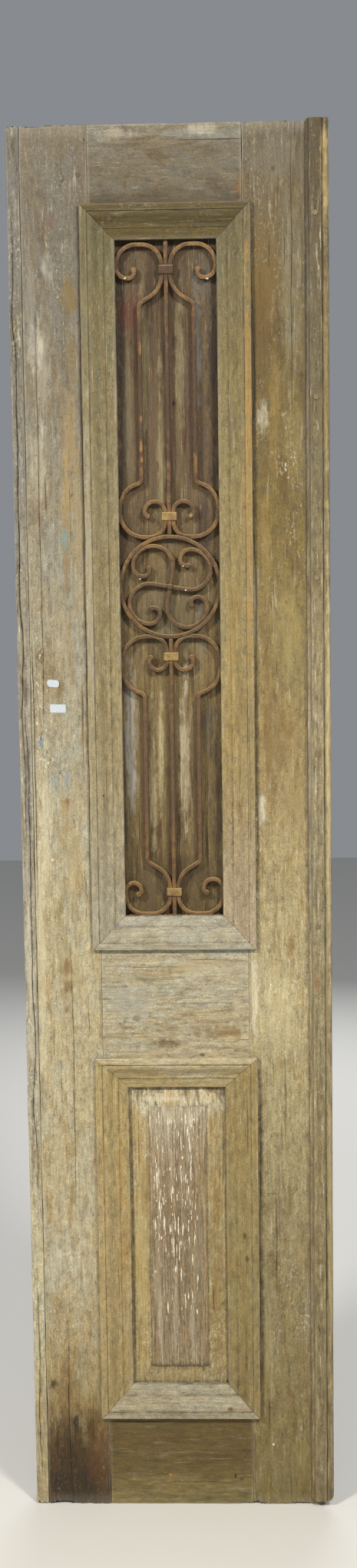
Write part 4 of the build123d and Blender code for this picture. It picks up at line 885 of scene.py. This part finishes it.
class DOOR_OT_edge_strips(bpy.types.Operator):
    """Make the lipping at the hinge edge and the cover strip at the meeting edge"""

    bl_idname = "door.edge_strips"
    bl_label = "Edge Strips"

    def execute(self, context):
        wear = context.scene.door_wood.edge_wear
        lipping = wood("lipping_wood", 13.0, (
            (0, "988965"), (400, "b3a886"), (760, "9b927a"), (1300, "857d6a"), (1900, "68645a"),
            (2352, "5c5850")), scrapes=0.2, streak=0.4, cool=0.5, checks=1.0,
            flecked=((-245, 900, 16, 420, 0.5), (-245, 2060, 16, 120, 0.15)))
        board("edge_lipping_worn", (-256.6, -235.6), LEAF_DEPTH, (0, 2350), lipping, seed=31.0,
              wear=1.5 * wear, wander=3.4, step=2.1, cuts=260, ease=1.6,
              nodes=("edge_lipping",), ragged=(8, 5),
              cracks=((-249, 1180, 2200, 3.0), (-243, 560, 1420, 3.5), (-247, 60, 430, 2.5)))
        strip = wood("cover_strip_wood", 17.0, (
            (0, "7e7050"), (420, "81734f"), (900, "877b5a"), (1400, "85795a"), (1900, "5c5236"),
            (2300, "453b25"), (2352, "453b25")),
            scrapes=0.1, streak=0.55, cool=0.3, warm=0.3, front=STRIP_FRONT)
        section = ([(0, 0), (0, 2), (0, 4)] + bezier((0, 4), (3.6, 4.8), (6.2, 7.6), (6.5, 12), 6)
                   + [(6.5, 12), (8.5, 12.1), (12, 12), (16, 12.05), (20, 12), (23.5, 12), (24.9, 11.7),
                      (24.95, 10.2), (26.4, 10.0)] + arc((32.25, 6.25), 5.75, 172, 0, 12)
                   + [(38, 3), (38, 0), (24, 0), (12, 0)])
        outline = [((STRIP_LEFT + a) * MM, FRONT_Y - h * MM) for a, h in section]
        piece = drawn_out("cover_strip_worn", outline, 260)
        local = points_of(piece)
        side, deep, share = local[:, 0].copy(), local[:, 1].copy(), local[:, 2]
        u = side / MM - STRIP_LEFT
        foot = 9 + rounded(u - 24, 14)
        head = LEAF_TOP / MM - rounded(u - 33, 5) - rounded(5 - u, 5)
        torn = np.abs(rough(np.stack([side, deep, side * 0], 1), (180, 90, 1), 41.0))
        run = (foot + 2.5 * torn) * MM + share * (head - foot - 2.5 * torn) * MM
        spot = np.stack([side, deep, run], 1)
        fine, slow = rough(spot, (50, 50, 22), 42.0), rough(spot, (12, 12, 4), 43.0)
        chips = np.clip(rough(spot, (26, 26, 17), 44.0) - 0.3, 0, 1)
        proud = deep < FRONT_Y - 3 * MM
        lip = (np.abs(u - 6.5) < 0.8) | (np.abs(u - 24.9) < 0.5)
        deep = deep + np.where(proud, wear * MM * (0.25 * fine + 0.3 * slow + 0.2), 0)
        deep = deep + np.where(lip & proud, wear * MM * 4.5 * chips, 0)
        side = side - np.where(u > 36.5, wear * MM * (1.6 * chips + 0.3 * np.abs(slow)), 0)
        set_points(piece, np.stack([side, deep, run], 1))
        mark(piece, "worn", np.where(lip | (u > 37), 0.3 + 2 * chips, 0.0))
        # Painted shade in the gap along the stile, stronger towards the top, and in the quirk by the bead,
        # with grime over the flat band.
        darkening = np.clip(run / LEAF_TOP * 1.5, 0.3, 1) * near(u, 0.5, 1.8)
        darkening += 0.3 * near(u, 25.6, 0.8) + 0.35 * near(u, 14, 5) * (u > 8)
        mark(piece, "grime_and_shade", darkening * (0.5 + 1.1 * rough(spot, (60, 60, 5), 47.0)))
        finish_piece(piece, strip, "leaf", ("cover_strip",), angle=34)
        return {"FINISHED"}


class DOOR_OT_mouldings(bpy.types.Operator):
    """Make the mitred mouldings round the grille and the panel"""

    bl_idname = "door.mouldings"
    bl_label = "Mouldings"

    def execute(self, context):
        wear = context.scene.door_wood.edge_wear
        finishes = {
            "grille_mould_left": ((1000, "938c78"), (1300, "867957"), (1750, "756a4a"), (2200, "575033")),
            "grille_mould_right": ((1000, "978870"), (1300, "87764c"), (1750, "776942"), (2200, "544c31")),
            # The top length is darker than the rest: dirt, and painted shade on its face that looks down.
            "grille_mould_top": ((2160, "4a3e14"), (2225, "433712")),
            "grille_mould_bottom": ((994, "938d78"), (1050, "958f7c")),
            "panel_mould_left": ((160, "958357"), (420, "9d895d"), (800, "9c895a")),
            "panel_mould_right": ((160, "817047"), (420, "857548"), (800, "8b794c")),
            "panel_mould_top": ((750, "9a895d"), (806, "a99b7a")),
            "panel_mould_bottom": ((160, "938a71"), (216, "978f76")),
        }
        for i, (name, stops) in enumerate(finishes.items()):
            prefix, side = name.split("_mould_")
            level = side in ("top", "bottom")
            finish = wood(name + "_wood", 20.0 + 3 * i, stops, level=level, pitch=300.0, lines=0.16,
                          scrapes=0.12, pits=0.15, checks=0.35, cool=0.35, warm=0.4, streak=0.2,
                          front=MOULDING_FRONT)
            window, upright_cuts = WINDOWS[prefix]
            moulding(name, side, window, finish, 40 if level else upright_cuts, 50.0 + 5 * i, wear)
        return {"FINISHED"}


class DOOR_OT_panel(bpy.types.Operator):
    """Make the fielded panel"""

    bl_idname = "door.panel"
    bl_label = "Fielded Panel"

    def execute(self, context):
        # The pale tones at 718 and 738 are a painted highlight on the bevel above the field, which faces up,
        # and the dark tone at 750 painted shadow under the moulding.
        bevels = wood("fielded_panel_wood", 14.0, (
            (220, "9c8a5e"), (420, "9c8a5c"), (700, "a08d62"), (718, "b5a98a"), (738, "b3a684"),
            (750, "7d6c4a")), lines=0.22, pitch=160, front=BEVEL_FRONT)
        field = wood("panel_field_wood", 33.0, (
            (250, "8a7858"), (420, "887656"), (600, "927f60"), (717, "a09379")),
            cool=0.35, warm=0.45, streak=0.7, scrapes=0.35, squeeze=(1.6, 1.6, 0.7), front=FIELD_FRONT)
        piece = copied_node("fielded_panel", "fielded_panel_worn")
        with editing():
            bpy.ops.mesh.dissolve_limited(angle_limit=math.radians(0.5))
            for x in np.linspace(-78, 78, 27):
                slice_at(0, x)
            for z in np.linspace(222, 744, 60):
                slice_at(2, z)
        points = points_of(piece)
        shown = points[:, 1] < PANEL_OPEN
        wave = 0.28 * rough(points, (40, 1, 5), 71.0) + 0.12 * rough(points, (180, 1, 20), 72.0)
        points[:, 1] += np.where(shown, wave * MM, 0)
        set_points(piece, points)
        # Painted shade at the step of the raised field and in the gap round the panel under the moulding.
        u, v = np.abs(points[:, 0]) / MM, np.abs(points[:, 2] / MM - PANEL_MIDDLE)
        beside = near(u, 50.0, 0.8) * (v < 235) + near(v, 234.0, 0.8) * (u < 51)
        around = near(u, 82.0, 1.6) + near(v, 266.0, 2.2)
        mark(piece, "grime_and_shade", 0.5 * beside + 0.6 * around)
        finish_piece(piece, bevels, "leaf", ("fielded_panel",), angle=25)
        piece.data.materials.append(field)
        for face in piece.data.polygons:
            if face.center.y < PANEL_FIELD:
                face.material_index = 1
        return {"FINISHED"}


class DOOR_OT_paint_flakes(bpy.types.Operator):
    """Scatter the last flakes of old paint over the field of the panel"""

    bl_idname = "door.paint_flakes"
    bl_label = "Paint Flakes"

    def execute(self, context):
        count = context.scene.door_wood.flake_count
        chance = random.Random(61)
        flake_back = FIELD_FRONT - 0.05
        shapes = [(chance.choice((-40, -33, -24, -12, -4, 7, 17, 22, 31)) + chance.gauss(0, 2.6),
                   min(694, max(268, chance.gauss(566, 96))), chance.uniform(0.8, 2.6) / 2,
                   chance.choice((4, 7, 11, 16, 24, 34)) * chance.uniform(0.7, 1.3) / 2)
                  for i in range(count)]
        flakes = []
        for x, z, half_width, half_height in shapes:
            flake = added("circle", vertices=18, radius=1.0, fill_type="NGON")
            torn = [chance.uniform(0.45, 1.25) for corner in flake.data.vertices]
            lean = chance.uniform(-0.06, 0.06)
            set_points(flake, [
                ((x + half_width * k * v.co.x + lean * half_height * v.co.y) * MM, flake_back * MM,
                 (z + half_height * (0.4 + 0.6 * k) * v.co.y) * MM)
                for v, k in zip(flake.data.vertices, torn)])
            with editing():
                extrude(0, -chance.uniform(0.35, 0.7) * MM, 0)
            flakes.append(flake)
        piece = joined(flakes, "paint_flakes")
        paint, g, shader, place = blank_material("old_white_paint")
        darkening = g.noise(g.scaled(place, (1, 1, 0.5)), 260.0, 5.0, 0.7)
        colour = g.blend(g.span(darkening, 0.38, 0.66), shade("d9d2bd"), shade("a3947a"))
        g.surface(shader, colour, 0.75, darkening, 0.5, 0.3)
        finish_piece(piece, paint, "leaf", angle=30)
        return {"FINISHED"}


class DOOR_OT_labels(bpy.types.Operator):
    """Stick two blank paper labels on the hinge stile"""

    bl_idname = "door.labels"
    bl_label = "Blank Labels"

    def execute(self, context):
        paper, g, shader, place = blank_material("label_paper")
        fibre = g.noise(place, 900.0, 3.0, 0.6)
        colour = g.blend(g.span(fibre, 0.3, 0.7), shade("a9b3ba"), shade("999fa3"))
        g.surface(shader, colour, 0.6, fibre, 0.2, 0.1)
        for name, left, right, low, high, corner, curl, lean in (
            ("label_worn", -207.6, -187.5, 1442.6, 1454.6, 4.5, 1.6, -0.10),
            ("label_plain", -203.4, -177.2, 1398.8, 1412.8, 1.2, 0.35, -0.02),
        ):
            piece = added("plane", name, size=1)
            set_points(piece, [((left if v.co.x < 0 else right) * MM, 0.0, (low if v.co.y < 0 else high) * MM)
                               for v in piece.data.vertices])
            with editing():
                bpy.ops.mesh.bevel(offset=corner * MM, segments=5, affect="VERTICES")
                for x in np.linspace(left, right, 14)[1:-1]:
                    slice_at(0, x)
                bpy.ops.mesh.select_all(action="SELECT")
                extrude(0, -0.3 * MM, 0)
            points = points_of(piece)
            across = (points[:, 0] / MM - left) / (right - left)
            points[:, 1] += FRONT_Y - 0.35 * MM - curl * MM * across ** 5
            points[:, 2] += lean * (points[:, 0] - left * MM)
            set_points(piece, points)
            finish_piece(piece, paper, "leaf", angle=30)
        return {"FINISHED"}


class DOOR_OT_shutter(bpy.types.Operator):
    """Make the boards and ledges of the inner shutter"""

    bl_idname = "door.shutter"
    bl_label = "Shutter"

    def execute(self, context):
        wear = context.scene.door_wood.edge_wear
        boards = wood("shutter_board_wood", 15.0, (
            (1010, "524323"), (1200, "60502e"), (1450, "635331"), (1800, "514129"), (2169, "443621")),
            cool=0.9, warm=0.9, mottle=0.45, streak=0.3, scrapes=0.06, pits=0.2, squeeze=(1.5, 1.5, 0.7),
            dark="241a10", cool_tint=(1.24, 1.28, 1.38, 1), warm_tint=(0.46, 0.32, 0.18, 1),
            front=BOARD_FRONT)
        for side, across in BOARD_SIDES.items():
            name = "shutter_board_" + side
            board(name + "_worn", across, (BOARD_FRONT, LEAF_BACK), (1010.2, 2208.8), boards, step=4.0,
                  cuts=120, ease=0.6, seed=61.0, wear=0.6 * wear, body="shutter",
                  nodes=(name,))
        ledge = wood("shutter_ledge_wood", 18.0, ((1000, "8a7854"), (2200, "80704f")), level=True)
        for i, name in enumerate(("shutter_ledge_bottom", "shutter_ledge_middle", "shutter_ledge_top")):
            low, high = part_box(name)
            board(name + "_worn", (low.z / MM, high.z / MM), (low.y / MM, high.y / MM),
                  (low.x / MM, high.x / MM), ledge, level=True, step=6.0, cuts=50, ease=2.4,
                  seed=65.0 + i, wear=0.8 * wear, body="shutter", nodes=(name,))
        return {"FINISHED"}


class DOOR_OT_grille(bpy.types.Operator):
    """Make the forged grille"""

    bl_idname = "door.grille"
    bl_label = "Forged Grille"

    def execute(self, context):
        sizes = context.scene.door_iron
        rust = iron("rusty_grille_iron", 3.0, "70522a", "4e371e", "2d2012", pit=0.4, dust_and_highlight="9e8552")
        gilt = iron("golden_collar_rust", 3.5, "8d7442", "68522d", "3d2c18", pit=0.35, dust_and_highlight="a48d5a")
        skin, dent = sizes.skin_size / MM, sizes.hammer_depth / MM
        names = ["scroll_bar_upper_left", "scroll_bar_upper_right", "scroll_bar_lower_left",
                 "scroll_bar_lower_right", "centre_bar_upper", "centre_bar_lower", "grille_ring",
                 "s_scroll_upright", "s_scroll_level", "crossing_rivet", "collar_top",
                 "collar_above_ring", "collar_below_ring", "collar_bottom"]
        for i, name in enumerate(names):
            finish = gilt if name.startswith("collar") and name != "collar_top" else rust
            forged(name + "_forged", name, finish, skin, dent, 3.0 * i)
        paint_node("grille_lugs", rust)
        return {"FINISHED"}


class DOOR_OT_crumbs(bpy.types.Operator):
    """Leave rust crumbs on the sill of the opening and white drops on the scroll ends"""

    bl_idname = "door.crumbs"
    bl_label = "Crumbs and Drops"

    def execute(self, context):
        chance = random.Random(77)
        crumbs = [(chance.uniform(-76, 76), chance.uniform(-11.5, -6.5), SILL, chance.uniform(0.7, 2.0))
                  for i in range(56)]
        drops = [(-66.6, -6.5, 2107.4, 2.3), (67.9, -6.5, 2104.6, 2.2), (-49.9, -6.5, 1618.2, 1.8),
                 (22.4, -6.5, 1638.8, 1.8), (26.1, -6.5, 1598.8, 1.8), (36.7, -6.5, 1721.6, 2.0)]
        for name, seats, tones in (
            ("rust_crumbs", crumbs, ("8a6238", "4a3425", "3a281c")),
            ("white_drops", drops, ("cfc8b8", "a89d88", "6b5c48")),
        ):
            lumps = []
            for x, y, z, radius in seats:
                lump = added("ico_sphere", subdivisions=2, radius=1.0)
                points = points_of(lump)
                points *= (1 + 0.35 * rough(points, (1.3, 1.3, 1.3), x))[:, None]
                points *= radius * MM
                points[:, 2] *= 0.8
                set_points(lump, points + np.array((x, y, z + 0.55 * radius)) * MM)
                lumps.append(lump)
            finish = iron(name + "_finish", 9.0, *tones)
            finish_piece(joined(lumps, name), finish, "leaf", angle=50)
        return {"FINISHED"}


class DOOR_OT_splinters(bpy.types.Operator):
    """Leave torn splinters along the edges"""

    bl_idname = "door.splinters"
    bl_label = "Splinters"

    def execute(self, context):
        chance = random.Random(19)
        seats = [(-255.2, -19.5, 1461, -5.0, 15), (-255.4, -19.8, 1440, -3.2, 12),
                 (-255.6, -19.0, 1416, -4.2, 13), (-255.4, -19.5, 1175, -5.5, 9),
                 (-255.6, -18.5, 1160, -3.0, 11), (-255.4, -19.0, 226, -4.0, 8),
                 (137.4, -29.0, 204, 4.4, 6), (137.6, -27.5, 198, 3.0, 5)]
        seats += [(-255.6, chance.uniform(-20, -12), chance.uniform(300, 1900),
                   chance.uniform(-3.0, -1.2), chance.uniform(5, 14)) for i in range(14)]
        slivers = []
        for x, y, z, out, length in seats:
            sliver = added("cone", vertices=6, radius1=1.0, radius2=0.15, depth=1.0)
            local = points_of(sliver)
            share = local[:, 2] + 0.5
            set_points(sliver, np.stack([x + 0.9 * local[:, 0] + out * share ** 1.6, y + 0.7 * local[:, 1],
                                         z + length * share], 1) * MM)
            slivers.append(sliver)
        torn = wood("splinter_wood", 11.0, ((0, "a8966c"), (2352, "8d7d5c")), scrapes=0.1)
        finish_piece(joined(slivers, "edge_splinters"), torn, "leaf", angle=40)
        return {"FINISHED"}


class DOOR_OT_plain_parts(bpy.types.Operator):
    """Finish the CAD nodes that keep their own shape"""

    bl_idname = "door.plain_parts"
    bl_label = "Plain Parts"

    def execute(self, context):
        peg = wood("peg_wood", 19.0, ((0, "5b503c"), (2352, "4f473a")))
        button = wood("button_wood_finish", 16.0, ((1300, "8f7448"), (1900, "8a7048")), pitch=160)
        filled = iron("filled_nail_iron", 7.0, "7d6d4d", "6b5c40", "4f432e")
        dark = iron("aged_hardware_iron", 5.0, "5b4636", "40332a", "2c221c", shine=0.3)
        dull = iron("fastener_iron", 6.0, "4a3a2e", "3a2e26", "241c17", shine=0.3)
        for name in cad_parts:
            for words, finish in (
                (("tenon_wedges", "top_joint_pegs"), peg),
                (("turn_button_lower", "turn_button_upper"), button),
                (("cover_strip_nails", "moulding_pins"), filled),
                (("nails", "pins", "screws", "pivots"), dull),
                (("door_hinge", "shutter_hinge", "top_bolt", "bottom_bolt"), dark),
            ):
                if any(word in name for word in words):
                    paint_node(name, finish)
                    break
        return {"FINISHED"}


class DOOR_OT_stage(bpy.types.Operator):
    """Set the floor, the soft lights and the camera"""

    bl_idname = "door.stage"
    bl_label = "Stage"

    def execute(self, context):
        sizes = context.scene.door_stage
        floor_material = bpy.data.materials.new("pale_floor")
        floor_material.use_nodes = True
        shader = floor_material.node_tree.nodes["Principled BSDF"]
        shader.inputs["Base Color"].default_value = (*sizes.floor_colour, 1.0)
        shader.inputs["Roughness"].default_value = 0.8
        floor = added("grid", "stage_floor", x_subdivisions=2, y_subdivisions=2, size=14)
        floor.data.materials.append(floor_material)
        world = bpy.data.worlds.new("soft_room")
        world.use_nodes = True
        world.node_tree.nodes["Background"].inputs[0].default_value = (0.72, 0.76, 0.82, 1.0)
        world.node_tree.nodes["Background"].inputs[1].default_value = 0.34 * sizes.light
        context.scene.world = world
        target = Vector((0, 0, 1.1))
        for name, place, size, power, colour in (
            ("key_left", (-1.7, -2.2, 3.0), 0.5, 104, (1.0, 0.94, 0.84)),
            ("key_right", (1.3, -2.3, 3.1), 0.5, 86, (1.0, 0.95, 0.86)),
            ("low_front", (0.2, -4.2, 1.5), 2.4, 34, (0.95, 0.97, 1.0)),
            ("rear_fill", (0.4, 3.4, 2.2), 2.4, 60, (0.96, 0.97, 1.0)),
        ):
            data = bpy.data.lights.new(name, "AREA")
            data.shape = "DISK"
            data.size = size
            data.energy = power * sizes.light
            data.color = colour
            lamp = bpy.data.objects.new(name, data)
            lamp.location = place
            lamp.rotation_euler = (target - Vector(place)).to_track_quat("-Z", "Y").to_euler()
            context.collection.objects.link(lamp)
        lens = bpy.data.cameras.new("photo_camera")
        lens.lens = sizes.lens
        lens.sensor_width = 36
        camera = bpy.data.objects.new("photo_camera", lens)
        yaw, pitch, roll = sizes.camera_turn
        turn = (Matrix.Rotation(yaw, 4, "Z") @ Matrix.Rotation(pitch, 4, "X")
                @ Matrix.Rotation(roll, 4, "Y") @ Matrix.Rotation(math.radians(90), 4, "X"))
        camera.matrix_world = Matrix.Translation(sizes.camera_place) @ turn
        context.collection.objects.link(camera)
        context.scene.camera = camera
        context.scene.view_settings.view_transform = "Standard"
        return {"FINISHED"}


class DOOR_PT_panel(bpy.types.Panel):
    """Lists the sizes and the operators"""

    bl_idname = "DOOR_PT_panel"
    bl_label = "Door Leaf"
    bl_space_type = "VIEW_3D"
    bl_region_type = "UI"
    bl_category = "Door Leaf"

    def draw(self, context):
        for title, group in (("Wood", "door_wood"), ("Iron", "door_iron"), ("Stage", "door_stage")):
            box = self.layout.box()
            box.label(text=title)
            held = getattr(context.scene, group)
            for name in held.__annotations__:
                box.prop(held, name)
        for step in STEPS:
            self.layout.operator(step.bl_idname)


SETTINGS = {"door_wood": DOOR_PG_wood, "door_iron": DOOR_PG_iron, "door_stage": DOOR_PG_stage}
STEPS = (DOOR_OT_effects, DOOR_OT_stiles, DOOR_OT_rails, DOOR_OT_edge_strips, DOOR_OT_mouldings,
         DOOR_OT_panel, DOOR_OT_paint_flakes, DOOR_OT_labels, DOOR_OT_shutter, DOOR_OT_grille,
         DOOR_OT_crumbs, DOOR_OT_splinters, DOOR_OT_plain_parts, DOOR_OT_stage)


def register():
    """Adds the classes and the settings to Blender."""
    for made in (*SETTINGS.values(), *STEPS, DOOR_PT_panel):
        bpy.utils.register_class(made)
    for name, group in SETTINGS.items():
        setattr(bpy.types.Scene, name, PointerProperty(type=group))


def unregister():
    """Takes the classes and the settings out of Blender again."""
    for name in SETTINGS:
        delattr(bpy.types.Scene, name)
    for made in reversed((*SETTINGS.values(), *STEPS, DOOR_PT_panel)):
        bpy.utils.unregister_class(made)


def main():
    """Builds every piece in order."""
    register()
    for step in STEPS:
        group, name = step.bl_idname.split(".")
        getattr(getattr(bpy.ops, group), name)()


if __name__ == "__main__":
    main()
